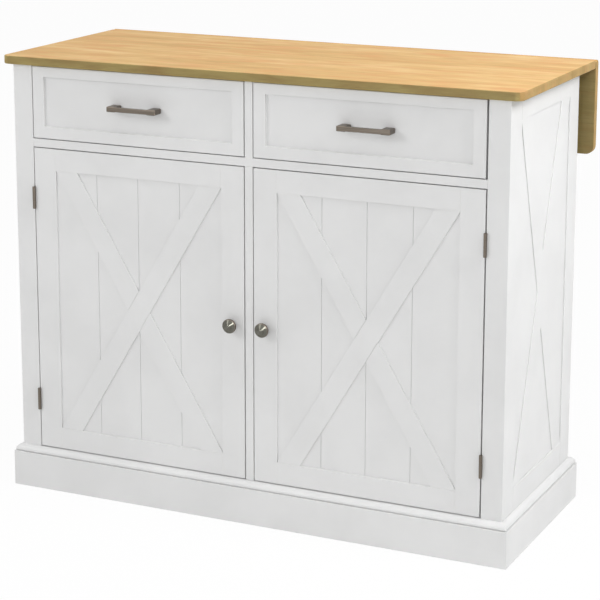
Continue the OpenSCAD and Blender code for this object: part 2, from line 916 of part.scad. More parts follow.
pull_x = (door_x0 + door_x1) / 2;
pull_z = (drawer_z0 + drawer_border_bottom + drawer_z1 - drawer_border_top) / 2;
pull_screw_r = 2;
pull_foot_h = pull_h + 2;
pull_foot_round = 2.5;
pull_foot_set_in = 0.8;
pull_bar_set_in = 1;
pull_hole_x = pull_l / 2 - pull_foot_w / 2;

module drawer_front(right) {
    difference() {
        on_side(right)
            block([door_x0, front_y, drawer_z0], [door_x1, box_y0, drawer_z1]);
        on_side(right)
            block([door_x0 + drawer_border_side, front_y - over,
                   drawer_z0 + drawer_border_bottom],
                  [door_x1 - drawer_border_side, front_y + drawer_recess,
                   drawer_z1 - drawer_border_top]);
        bottom_space(right);
        on_side(right)
            for (side = [-1, 1])
                rod_y(pull_x + side * pull_hole_x, front_y, box_y0 + over, pull_z,
                      pull_screw_r);
    }
}

module drawer_box_side(right, x0) {
    difference() {
        on_side(right) block([x0, box_y0, box_z0], [x0 + box_t, box_y1, box_z0 + box_h]);
        bottom_space(right);
    }
}

module drawer_back(right) {
    difference() {
        on_side(right)
            block([box_x0 + box_t, box_y1 - box_t, box_z0],
                  [box_x1 - box_t, box_y1, box_z0 + box_h]);
        bottom_space(right);
    }
}

// A bar on two feet, with the long edges of the feet rounded and screw holes behind
module drawer_pull(right) {
    foot_r = pull_foot_round;
    foot_y0 = front_y - pull_reach + pull_foot_set_in;
    bar_y = front_y - pull_reach;
    base_y = front_y + drawer_recess;
    on_side(right)
        translate([pull_x, 0, pull_z])
            difference() {
                union() {
                    block([-pull_l / 2 + pull_bar_set_in, bar_y, -pull_h / 2],
                          [pull_l / 2 - pull_bar_set_in, bar_y + pull_t, pull_h / 2]);
                    for (side = [-1, 1])
                        translate([side * pull_hole_x, 0, 0])
                            slab_y(foot_y0, base_y) {
                                square([pull_foot_w - 2 * foot_r, pull_foot_h], center = true);
                                square([pull_foot_w, pull_foot_h - 2 * foot_r], center = true);
                                for (sx = [-1, 1])
                                    for (sz = [-1, 1])
                                        translate([sx * (pull_foot_w / 2 - foot_r),
                                                   sz * (pull_foot_h / 2 - foot_r)])
                                            circle(r = foot_r);
                            }
                }
                for (side = [-1, 1])
                    rod_y(side * pull_hole_x, bar_y + pull_t, base_y + over, 0, pull_screw_r);
            }
}

module left_drawer_front() {
    color(white_paint) drawer_front(false);
}

module left_drawer_left_side() {
    color(raw_board) drawer_box_side(false, box_x0);
}

module left_drawer_right_side() {
    color(raw_board) drawer_box_side(false, box_x1 - box_t);
}

module left_drawer_back() {
    color(raw_board) drawer_back(false);
}

module left_drawer_bottom() {
    color(raw_board) bottom_space(false);
}

module left_drawer_runners() {
    color(zinc_steel) drawer_runners(false);
}

module left_drawer_pull() {
    color(dark_nickel) drawer_pull(false);
}

module right_drawer_front() {
    color(white_paint) drawer_front(true);
}

module right_drawer_left_side() {
    color(raw_board) drawer_box_side(true, box_x1 - box_t);
}

module right_drawer_right_side() {
    color(raw_board) drawer_box_side(true, box_x0);
}

module right_drawer_back() {
    color(raw_board) drawer_back(true);
}

module right_drawer_bottom() {
    color(raw_board) bottom_space(true);
}

module right_drawer_runners() {
    color(zinc_steel) drawer_runners(true);
}

module right_drawer_pull() {
    color(dark_nickel) drawer_pull(true);
}

// ------------------------------------------------------------------ doors

panel_x0 = door_x0 + stile_w;
panel_x1 = door_x1 - stile_w;
panel_z0 = door_z0 + rail_h;
panel_z1 = door_z1 - rail_h;
panel_y0 = front_y + door_recess;

// The panel with its edges, which sit in the grooves of the frame
module door_panel_space() {
    block([panel_x0 - door_groove, panel_y0, panel_z0 - door_groove],
          [panel_x1 + door_groove, panel_y0 + door_panel_t, panel_z1 + door_groove]);
}

knob_x = door_x1 - stile_w / 2;
knob_z = (door_z0 + door_z1) / 2;
knob_screw_r = 2;
knob_screw_in = 11;
knob_foot_r = 7.5;
knob_foot_t = 1.6;
knob_neck_r = 5.2;
knob_neck_flare = 0.3;
knob_neck_low = 3;
knob_neck_high = 7.5;
knob_body_r = 6.5;
knob_body_low = 10.5;
knob_cone_h = 5;
knob_rim_h = 1.6;
knob_rim_ease = 0.8;
knob_shoulder = 2.5;

// Stiles and rails, grooved for the panel, let in for the hinges, bored for the knob
module door_frame(right) {
    on_side(right)
        difference() {
            block([door_x0, front_y, door_z0], [door_x1, front_y + door_t, door_z1]);
            block([panel_x0, front_y - over, panel_z0],
                  [panel_x1, front_y + door_t + over, panel_z1]);
            door_panel_space();
            for (x = [panel_x0, panel_x1])
                for (z = [[door_z0 - over, panel_z0], [panel_z1, door_z1 + over]])
                    block([x - joint_line / 2, front_y - over, z[0]],
                          [x + joint_line / 2, front_y + joint_line, z[1]]);
            for (z = hinge_z)
                hinge_mortise(door_x0 - over, door_leaf_x, z, hinge_back_y);
            rod_y(knob_x, front_y - over, front_y + door_t + over, knob_z, knob_screw_r);
        }
}

// One panel, scored with a V groove at each joint between its boards
module door_boards_panel(right) {
    pitch = (panel_x1 - panel_x0) / door_boards;
    depth = v_groove_w / 2;
    on_side(right)
        difference() {
            door_panel_space();
            for (i = [1:door_boards - 1])
                translate([panel_x0 + i * pitch, panel_y0, panel_z0 - door_groove - over])
                    linear_extrude(panel_z1 - panel_z0 + 2 * door_groove + 2 * over)
                        polygon([[-depth, 0], [-depth, -over], [depth, -over], [depth, 0],
                                 [0, depth]]);
        }
}

// The crossed strips on the panel: the one that rises to the right runs through
module door_brace(x0, x1) {
    slab_y(front_y + brace_step, panel_y0)
        crossed_strips(x0, x1, panel_z0, panel_z1, joint_line / 2);
}

// A turned knob: a stem, a flared body and a shallow cone on its face
module door_knob(right) {
    rim = knob_reach - knob_cone_h;
    on_side(right)
        translate([knob_x, front_y, knob_z])
            rotate([90, 0, 0])
                difference() {
                    rotate_extrude($fn = 96)
                        polygon([
                            [0, 0],
                            [knob_foot_r, 0],
                            [knob_foot_r, knob_foot_t],
                            [knob_neck_r + knob_neck_flare, knob_neck_low],
                            [knob_neck_r, knob_neck_high],
                            [knob_body_r, knob_body_low],
                            [knob_r - knob_shoulder, rim - 2 * knob_rim_h],
                            [knob_r, rim - knob_rim_h],
                            [knob_r, rim],
                            [knob_r - knob_rim_ease, rim + knob_rim_ease],
                            [0, knob_reach]
                        ]);
                    translate([0, 0, -over])
                        cylinder(r = knob_screw_r, h = knob_screw_in + over);
                }
}

knuckle_l = (hinge_h - 2 * knuckle_gap) / 3;
hinge_screw_r = 1.7;
hinge_screw_in = 8.25;

// One leaf of a butt hinge, with its knuckles; the middle knuckle is the door's
module butt_leaf(z, on_door) {
    x0 = on_door ? hinge_axis_x + hinge_line : frame_leaf_x;
    low = z - hinge_h / 2;
    clear_y = hinge_axis_y + knuckle_r + knuckle_gap;
    mid_low_z = low + knuckle_l + knuckle_gap;
    spans = on_door ? [[mid_low_z, mid_low_z + knuckle_l]]
                    : [[low, low + knuckle_l], [low + hinge_h - knuckle_l, low + hinge_h]];
    difference() {
        union() {
            block([x0, clear_y, low], [x0 + hinge_leaf_t, hinge_back_y, low + hinge_h]);
            for (s = spans) {
                translate([hinge_axis_x, hinge_axis_y, s[0]])
                    cylinder(r = knuckle_r, h = s[1] - s[0]);
                block([x0, hinge_axis_y, s[0]], [x0 + hinge_leaf_t, clear_y + over, s[1]]);
            }
        }
        translate([hinge_axis_x, hinge_axis_y, low - over])
            cylinder(r = hinge_pin_r + (on_door ? pin_fit : 0), h = hinge_h + 2 * over);
        for (dz = [-hinge_h / 4, hinge_h / 4])
            rod_x(x0 - over, x0 + hinge_leaf_t + over, front_y + hinge_screw_in, z + dz,
                  hinge_screw_r);
    }
}

module hinge_frame_leaves() {
    color(dark_nickel)
        for (right = [false, true])
            on_side(right)
                for (z = hinge_z) butt_leaf(z, false);
}

module hinge_pins() {
    color(dark_nickel)
        for (right = [false, true])
            on_side(right)
                for (z = hinge_z)
                    translate([hinge_axis_x, hinge_axis_y, z - hinge_h / 2])
                        cylinder(r = hinge_pin_r, h = hinge_h);
}

module door_hinges(right) {
    on_side(right)
        for (z = hinge_z) butt_leaf(z, true);
}

catch_from_middle = 40;
catch_body_w = 46;
catch_body_h = 13;
catch_body_back = 16;
catch_nose_w = 28;
catch_nose_h = 7;
catch_nose_down = 3;
catch_nose_out = 1.5;
catch_gap = 0.5;

// Two magnetic catches under the middle deck, one behind each door
module door_catches() {
    catch_x = -board_t / 2 - catch_from_middle;
    catch_y = front_y + door_t + catch_gap;
    nose_top = mid_low - catch_nose_down;
    color(catch_white)
        for (right = [false, true])
            on_side(right) {
                block([catch_x - catch_body_w / 2, catch_y + catch_nose_out,
                       mid_low - catch_body_h],
                      [catch_x + catch_body_w / 2, catch_y + catch_body_back, mid_low]);
                block([catch_x - catch_nose_w / 2, catch_y, nose_top - catch_nose_h],
                      [catch_x + catch_nose_w / 2, catch_y + catch_nose_out + catch_gap,
                       nose_top]);
            }
}

module left_door_frame() {
    color(white_paint) door_frame(false);
}

module left_door_boards() {
    color(white_paint) door_boards_panel(false);
}

module left_door_brace() {
    color(white_paint) door_brace(panel_x0, panel_x1);
}

module left_door_knob() {
    color(dark_nickel) door_knob(false);
}

module left_door_hinges() {
    color(dark_nickel) door_hinges(false);
}

module right_door_frame() {
    color(white_paint) door_frame(true);
}

module right_door_boards() {
    color(white_paint) door_boards_panel(true);
}

module right_door_brace() {
    color(white_paint) door_brace(-panel_x1, -panel_x0);
}

module right_door_knob() {
    color(dark_nickel) door_knob(true);
}

module right_door_hinges() {
    color(dark_nickel) door_hinges(true);
}

worktop();
drop_leaf();
leaf_hinge_arms();
leaf_hinge_cups();
leaf_pins();
stay_channels();
stay_shoes();
left_stay();
right_stay();
worktop_brackets();
left_side_panel();
right_side_panel();
left_side_frame();
right_side_frame();
left_side_brace();
right_side_brace();
left_front_post();
right_front_post();
bottom_panel();
mid_panel();
lower_partition();
upper_partition();
back_panel();
rear_stretcher();
plinth_front();
plinth_left();
plinth_right();
plinth_back();
left_shelf();
right_shelf();
shelf_pins();
runner_blocks();
slide_rails();
left_drawer_front();
left_drawer_left_side();
left_drawer_right_side();
left_drawer_back();
left_drawer_bottom();
left_drawer_runners();
left_drawer_pull();
right_drawer_front();
right_drawer_left_side();
right_drawer_right_side();
right_drawer_back();
right_drawer_bottom();
right_drawer_runners();
right_drawer_pull();
left_door_frame();
left_door_boards();
left_door_brace();
left_door_knob();
left_door_hinges();
right_door_frame();
right_door_boards();
right_door_brace();
right_door_knob();
right_door_hinges();
hinge_frame_leaves();
hinge_pins();
door_catches();
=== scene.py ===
import math

import bmesh
import bpy
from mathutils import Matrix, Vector


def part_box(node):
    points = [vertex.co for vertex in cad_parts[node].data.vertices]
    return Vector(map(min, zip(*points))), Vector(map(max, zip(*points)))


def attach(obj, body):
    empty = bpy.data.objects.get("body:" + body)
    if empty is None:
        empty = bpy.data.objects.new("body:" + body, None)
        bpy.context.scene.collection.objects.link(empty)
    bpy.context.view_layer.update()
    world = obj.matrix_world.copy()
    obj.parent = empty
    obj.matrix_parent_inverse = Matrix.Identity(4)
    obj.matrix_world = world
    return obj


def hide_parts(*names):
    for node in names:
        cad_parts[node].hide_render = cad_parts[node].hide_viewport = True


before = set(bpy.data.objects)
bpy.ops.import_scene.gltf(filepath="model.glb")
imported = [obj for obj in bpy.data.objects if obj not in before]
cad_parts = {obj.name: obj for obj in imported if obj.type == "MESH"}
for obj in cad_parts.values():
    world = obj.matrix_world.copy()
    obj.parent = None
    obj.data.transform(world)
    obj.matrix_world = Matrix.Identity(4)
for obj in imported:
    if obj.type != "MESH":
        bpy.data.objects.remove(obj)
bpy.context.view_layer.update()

# ------------------------------------------------------------------ camera
# The camera stands well to the right of the front and a little above the worktop, and
# looks down at the island through a long lens whose view is slid down.

CAMERA_PLACE = (1.7300, -3.6776, 1.5022)
CAMERA_TURN = math.radians(25.453)
CAMERA_DIP = math.radians(12.170)

camera_data = bpy.data.cameras.new("camera")
camera_data.sensor_width = 36
camera_data.lens = 121.95
camera_data.shift_x = 0.0218
camera_data.shift_y = -0.17
camera_data.clip_end = 200
camera = bpy.data.objects.new("camera", camera_data)
camera.location = CAMERA_PLACE
camera.rotation_euler = (math.pi / 2 - CAMERA_DIP, 0, CAMERA_TURN)
bpy.context.collection.objects.link(camera)
bpy.context.scene.camera = camera

# -------------------------------------------------------------- studio room
# A pale floor that runs out of sight under an even sky and a glowing ceiling. One soft box
# stands far out in front, high on the left, one close by on the right, and a small weak one
# straight in front. Behind that hangs a bright card that shows only where a surface shines.

FLOOR_HALF = 60.0
FLOOR_COLOUR = "#ebebea"
FLOOR_OWN_WHITE = 0.95
SKY_LEVEL = 0.47
WHITE = (1, 1, 1, 1)
GLOSS_CARD = "gloss_card"
# Each box and the card: its place, the side of its square and its power in watts
SOFT_BOXES = {
    "front_box": ((-2.25, -3.00, 2.40), 1.4, 36.0),
    "side_box": ((2.25, -0.25, 2.25), 1.1, 41.0),
    "small_box": ((0.75, -3.50, 1.30), 0.3, 10.5),
    GLOSS_CARD: ((0.80, -3.75, 1.36), 1.0, 60.0),
}
BOXES_AIM = (0.0, 0.0, 0.45)
# The ceiling's light: which way it comes from, its strength and how wide it spreads
CEILING_FROM = (0.15, -0.20, 1.0)
CEILING_LEVEL = 0.53
CEILING_SPREAD = 0.8


def add(tree, kind, inputs=None, stops=None, **settings):
    """Adds a node with its settings, and sets or links its inputs."""
    made = tree.nodes.new(kind)
    for setting, value in settings.items():
        setattr(made, setting, value)
    for socket, value in (inputs or {}).items():
        if isinstance(value, bpy.types.NodeSocket):
            tree.links.new(value, made.inputs[socket])
        else:
            made.inputs[socket].default_value = value
    for i, (place, tone) in enumerate(stops or ()):
        element = made.color_ramp.elements[i] if i < 2 else made.color_ramp.elements.new(place)
        element.position = place
        element.color = tone
    return made


def colour(text):
    """An sRGB hex colour as linear red, green, blue and 1."""
    parts = [int(text[i:i + 2], 16) / 255 for i in (1, 3, 5)]
    return [p / 12.92 if p <= 0.04045 else ((p + 0.055) / 1.055) ** 2.4 for p in parts] + [1.0]


def seen_directly(tree):
    """1 where a ray comes from the camera, or off metal or through glass, and 0 elsewhere."""
    path = add(tree, "ShaderNodeLightPath")
    either = add(tree, "ShaderNodeMath", {
        0: path.outputs["Is Camera Ray"], 1: path.outputs["Is Glossy Ray"],
    }, operation="MAXIMUM")
    return add(tree, "ShaderNodeMath", {
        0: either.outputs[0], 1: path.outputs["Is Transmission Ray"],
    }, operation="MAXIMUM").outputs[0]


world = bpy.data.worlds.new("studio_sky")
world.use_nodes = True
world.node_tree.nodes.clear()
sky = world.node_tree
sky_light = add(sky, "ShaderNodeBackground", {"Color": WHITE, "Strength": SKY_LEVEL})
sky_seen = add(sky, "ShaderNodeBackground", {"Color": WHITE, "Strength": 1.0})
sky_mix = add(sky, "ShaderNodeMixShader", {
    0: seen_directly(sky), 1: sky_light.outputs[0], 2: sky_seen.outputs[0],
})
add(sky, "ShaderNodeOutputWorld", {"Surface": sky_mix.outputs[0]})
bpy.context.scene.world = world
bpy.context.scene.view_settings.view_transform = "Standard"

floor_paint = bpy.data.materials.new("pale studio floor")
floor_paint.use_nodes = True
floor_paint.node_tree.nodes.clear()
tree = floor_paint.node_tree
lit = add(tree, "ShaderNodeBsdfDiffuse", {"Color": colour(FLOOR_COLOUR)})
own_white = add(tree, "ShaderNodeEmission", {"Color": WHITE, "Strength": 1.0})
share = add(tree, "ShaderNodeMath", {0: seen_directly(tree), 1: FLOOR_OWN_WHITE},
            operation="MULTIPLY")
mixed = add(tree, "ShaderNodeMixShader", {
    0: share.outputs[0], 1: lit.outputs[0], 2: own_white.outputs[0],
})
add(tree, "ShaderNodeOutputMaterial", {"Surface": mixed.outputs[0]})

floor_mesh = bpy.data.meshes.new("studio_floor")
floor_mesh.from_pydata(
    [(x * FLOOR_HALF, y * FLOOR_HALF, 0) for x, y in ((-1, -1), (1, -1), (1, 1), (-1, 1))],
    [], [(0, 1, 2, 3)])
floor_mesh.materials.append(floor_paint)
floor = bpy.data.objects.new("studio_floor", floor_mesh)
bpy.context.collection.objects.link(floor)

for lamp_name, (place, side, power) in SOFT_BOXES.items():
    lamp = bpy.data.lights.new(lamp_name, "AREA")
    lamp.size = side
    lamp.energy = power
    stand = bpy.data.objects.new(lamp_name, lamp)
    stand.location = place
    stand.rotation_euler = (Vector(place) - Vector(BOXES_AIM)).to_track_quat("Z", "Y").to_euler()
    stand.visible_camera = False
    stand.visible_diffuse = lamp_name != GLOSS_CARD
    bpy.context.collection.objects.link(stand)
ceiling_data = bpy.data.lights.new("ceiling_glow", "SUN")
ceiling_data.energy = CEILING_LEVEL
ceiling_data.angle = CEILING_SPREAD
ceiling = bpy.data.objects.new("ceiling_glow", ceiling_data)
ceiling.rotation_euler = Vector(CEILING_FROM).to_track_quat("Z", "Y").to_euler()
bpy.context.collection.objects.link(ceiling)

# ----------------------------------------------------------------- carcass
# The carcass is smooth fibreboard: two sides, two decks, two partitions, a thin back and
# a stretcher, screwed and glued, sprayed white inside and out.

MM = 0.001
BOARD_EASE = 0.8 * MM
THIN_EASE = 0.4 * MM
# Faces that meet at less than the first angle are one flat face, and at less than the
# second one round surface; a steeper edge is an arris, which is eased
FLAT_UNDER = math.radians(1)
ROUND_UNDER = math.radians(35)
MERGE_WITHIN = 0.001 * MM


def sprayed_paint(name, tone, shaded, gloss):
    """White satin lacquer, sprayed: flat and even, with a faint cloud from the gun's
    passes (120 mm across) and orange peel (drawn 5 mm wide, coarser than the real 1 mm,
    so that it shows), and slightly uneven sheen."""
    material = bpy.data.materials.new(name)
    material.use_nodes = True
    tree = material.node_tree
    shader = tree.nodes["Principled BSDF"]
    place = add(tree, "ShaderNodeTexCoord").outputs["Object"]
    cloud = add(tree, "ShaderNodeTexNoise", {"Vector": place, "Scale": 8.0, "Detail": 4.0})
    tint = add(tree, "ShaderNodeValToRGB", {"Fac": cloud.outputs["Fac"]},
               stops=[(0.36, colour(shaded)), (0.6, colour(tone))])
    tree.links.new(tint.outputs["Color"], shader.inputs["Base Color"])
    peel = add(tree, "ShaderNodeTexNoise", {"Vector": place, "Scale": 190.0, "Detail": 2.0})
    sheen = add(tree, "ShaderNodeMapRange", {
        "Value": peel.outputs["Fac"], "To Min": gloss, "To Max": gloss + 0.12,
    })
    tree.links.new(sheen.outputs["Result"], shader.inputs["Roughness"])
    relief = add(tree, "ShaderNodeBump", {
        "Height": peel.outputs["Fac"], "Strength": 0.25, "Distance": 0.0004,
    })
    tree.links.new(relief.outputs["Normal"], shader.inputs["Normal"])
    return material


white_paint = sprayed_paint("satin white lacquer on fibreboard", "#dedede", "#dadada", 0.42)
# On the arrises the lacquer is painted a shade lighter, a painted highlight along each edge, and
# its sheen is rougher there
white_arris_painted_highlight = sprayed_paint("satin white lacquer rubbed thin on the arrises",
                            "#e4e4e3", "#dededd", 0.5)


def finish_piece(name, shape, body, nodes, finishes, ease=0.0, cuts=2, arris=0):
    """Makes a piece of a shape: its edges eased in some cuts, its finishes on it, with one
    of them on the arrises, carried by a body and standing for its CAD nodes."""
    shape.normal_update()
    for face in shape.faces:
        bends = [edge.calc_face_angle(0) for edge in face.edges]
        face.smooth = any(FLAT_UNDER < bend < ROUND_UNDER for bend in bends)
    for edge in shape.edges:
        edge.smooth = edge.calc_face_angle(0) < ROUND_UNDER
    mesh = bpy.data.meshes.new(name)
    shape.to_mesh(mesh)
    shape.free()
    for finish in finishes:
        mesh.materials.append(finish)
    piece = bpy.data.objects.new(name, mesh)
    bpy.context.collection.objects.link(piece)
    if ease:
        rounding = piece.modifiers.new("eased_edges", "BEVEL")
        rounding.width = ease
        rounding.segments = cuts
        rounding.limit_method = "ANGLE"
        rounding.angle_limit = ROUND_UNDER
        rounding.use_clamp_overlap = False
        if arris:
            rounding.material = arris
    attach(piece, body)
    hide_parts(*nodes)


def cad_shape(node):
    """A CAD node's shape with its triangles merged into whole faces."""
    shape = bmesh.new()
    shape.from_mesh(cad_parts[node].data)
    bmesh.ops.remove_doubles(shape, verts=shape.verts, dist=MERGE_WITHIN)
    bmesh.ops.dissolve_limit(shape, angle_limit=FLAT_UNDER, verts=shape.verts,
                             edges=shape.edges)
    return shape


for board in ("left_side_panel", "right_side_panel", "bottom_panel", "mid_panel",
              "lower_partition", "upper_partition", "rear_stretcher"):
    finish_piece(board + "_board", cad_shape(board), "cabinet", [board],
                 [white_paint, white_arris_painted_highlight], BOARD_EASE, arris=1)
finish_piece("back_board", cad_shape("back_panel"), "cabinet", ["back_panel"],
             [white_paint, white_arris_painted_highlight], THIN_EASE, arris=1)

# -------------------------------------------------- side frames and braces
# On each side board lie two stiles and two rails, with two crossed strips between them:
# thin fibreboard, glued on and sprayed with the board.

for side in ("left", "right"):
    for part in ("side_frame", "side_brace", "front_post"):
        cad = f"{side}_{part}"
        finish_piece(cad + "_board", cad_shape(cad), "cabinet", [cad],
                     [white_paint, white_arris_painted_highlight], THIN_EASE, arris=1)

# ------------------------------------------------------------------ plinth
# Four skirting boards run round the foot, mitred at the corners, each with a quirk and a
# quarter round along its top edge.

for side in ("front", "left", "right", "back"):
    cad = f"plinth_{side}"
    finish_piece(cad + "_board", cad_shape(cad), "cabinet", [cad],
                 [white_paint, white_arris_painted_highlight], THIN_EASE, arris=1)

# ----------------------------------------------------------------- shelves
# One loose shelf in each cupboard, of the same sprayed fibreboard, lies on four
# zinc-plated pins that are pushed into the side board and the partition.

for side in ("left", "right"):
    cad = f"{side}_shelf"
    finish_piece(cad + "_board", cad_shape(cad), "cabinet", [cad],
                 [white_paint, white_arris_painted_highlight], BOARD_EASE, arris=1)


def plated_steel(name, tone, shaded, dull):
    """Bright zinc on pressed steel: a cool grey metal with cloudy patches 20 mm across
    and a mottle 1.4 mm fine, drawn coarser than the real one, that blurs what it reflects."""
    material = bpy.data.materials.new(name)
    material.use_nodes = True
    tree = material.node_tree
    shader = tree.nodes["Principled BSDF"]
    shader.inputs["Metallic"].default_value = 1.0
    place = add(tree, "ShaderNodeTexCoord").outputs["Object"]
    patches = add(tree, "ShaderNodeTexNoise", {"Vector": place, "Scale": 50.0, "Detail": 5.0})
    tint = add(tree, "ShaderNodeValToRGB", {"Fac": patches.outputs["Fac"]},
               stops=[(0.35, colour(shaded)), (0.65, colour(tone))])
    tree.links.new(tint.outputs["Color"], shader.inputs["Base Color"])
    fine = add(tree, "ShaderNodeTexNoise", {"Vector": place, "Scale": 700.0, "Detail": 2.0})
    blur = add(tree, "ShaderNodeMapRange", {
        "Value": fine.outputs["Fac"], "To Min": dull, "To Max": dull + 0.15,
    })
    tree.links.new(blur.outputs["Result"], shader.inputs["Roughness"])
    relief = add(tree, "ShaderNodeBump", {
        "Height": fine.outputs["Fac"], "Strength": 0.2, "Distance": 0.0002,
    })
    tree.links.new(relief.outputs["Normal"], shader.inputs["Normal"])
    return material


zinc = plated_steel("bright zinc-plated steel", "#c2c4c6", "#a9abad", 0.28)
SHEET_EASE = 0.3 * MM
finish_piece("shelf_pin_set", cad_shape("shelf_pins"), "cabinet", ["shelf_pins"],
             [zinc], SHEET_EASE)

# --------------------------------------------------------- drawer slides
# A bare birch block behind each post packs the outer slides out; the slides are folded
# steel channels, one half screwed to the cabinet and the other to the drawer.


def bare_wood(name, along, tones):
    """Bare planed birch: pale, with straight bands of grain 17 mm wide and finer lines in
    them, drawn out along one axis, slight fur and no gloss."""
    material = bpy.data.materials.new(name)
    material.use_nodes = True
    tree = material.node_tree
    shader = tree.nodes["Principled BSDF"]
    place = add(tree, "ShaderNodeTexCoord").outputs["Object"]
    stretch = [60.0, 60.0, 60.0]
    stretch[along] = 3.0
    laid = add(tree, "ShaderNodeMapping", {"Vector": place, "Scale": stretch})
    figure = add(tree, "ShaderNodeTexNoise", {
        "Vector": laid.outputs[0], "Scale": 1.0, "Detail": 5.0, "Roughness": 0.6,
    })
    tint = add(tree, "ShaderNodeValToRGB", {"Fac": figure.outputs["Fac"]},
               stops=list(zip((0.3, 0.5, 0.7), map(colour, tones))))
    tree.links.new(tint.outputs["Color"], shader.inputs["Base Color"])
    fur = add(tree, "ShaderNodeMapRange", {
        "Value": figure.outputs["Fac"], "To Min": 0.6, "To Max": 0.8,
    })
    tree.links.new(fur.outputs["Result"], shader.inputs["Roughness"])
    relief = add(tree, "ShaderNodeBump", {
        "Height": figure.outputs["Fac"], "Strength": 0.3, "Distance": 0.0005,
    })
    tree.links.new(relief.outputs["Normal"], shader.inputs["Normal"])
    return material


BARE_TONES = ("#d9c9ad", "#e6dac4", "#eee5d4")
bare_lengthwise = bare_wood("bare birch with the grain front to back", 1, BARE_TONES)
bare_crosswise = bare_wood("bare birch with the grain side to side", 0, BARE_TONES)

finish_piece("runner_packing_blocks", cad_shape("runner_blocks"), "cabinet",
             ["runner_blocks"], [bare_lengthwise], BOARD_EASE)
finish_piece("slide_rail_set", cad_shape("slide_rails"), "cabinet",
             ["slide_rails"], [zinc], SHEET_EASE)

# ----------------------------------------------------------------- worktop
# The worktop is glued up from hardwood staves that run its whole length, its front
# corners rounded, sanded and rubbed with oil; it lies on the carcass, held by angles.

STAVE = 64.14 * MM


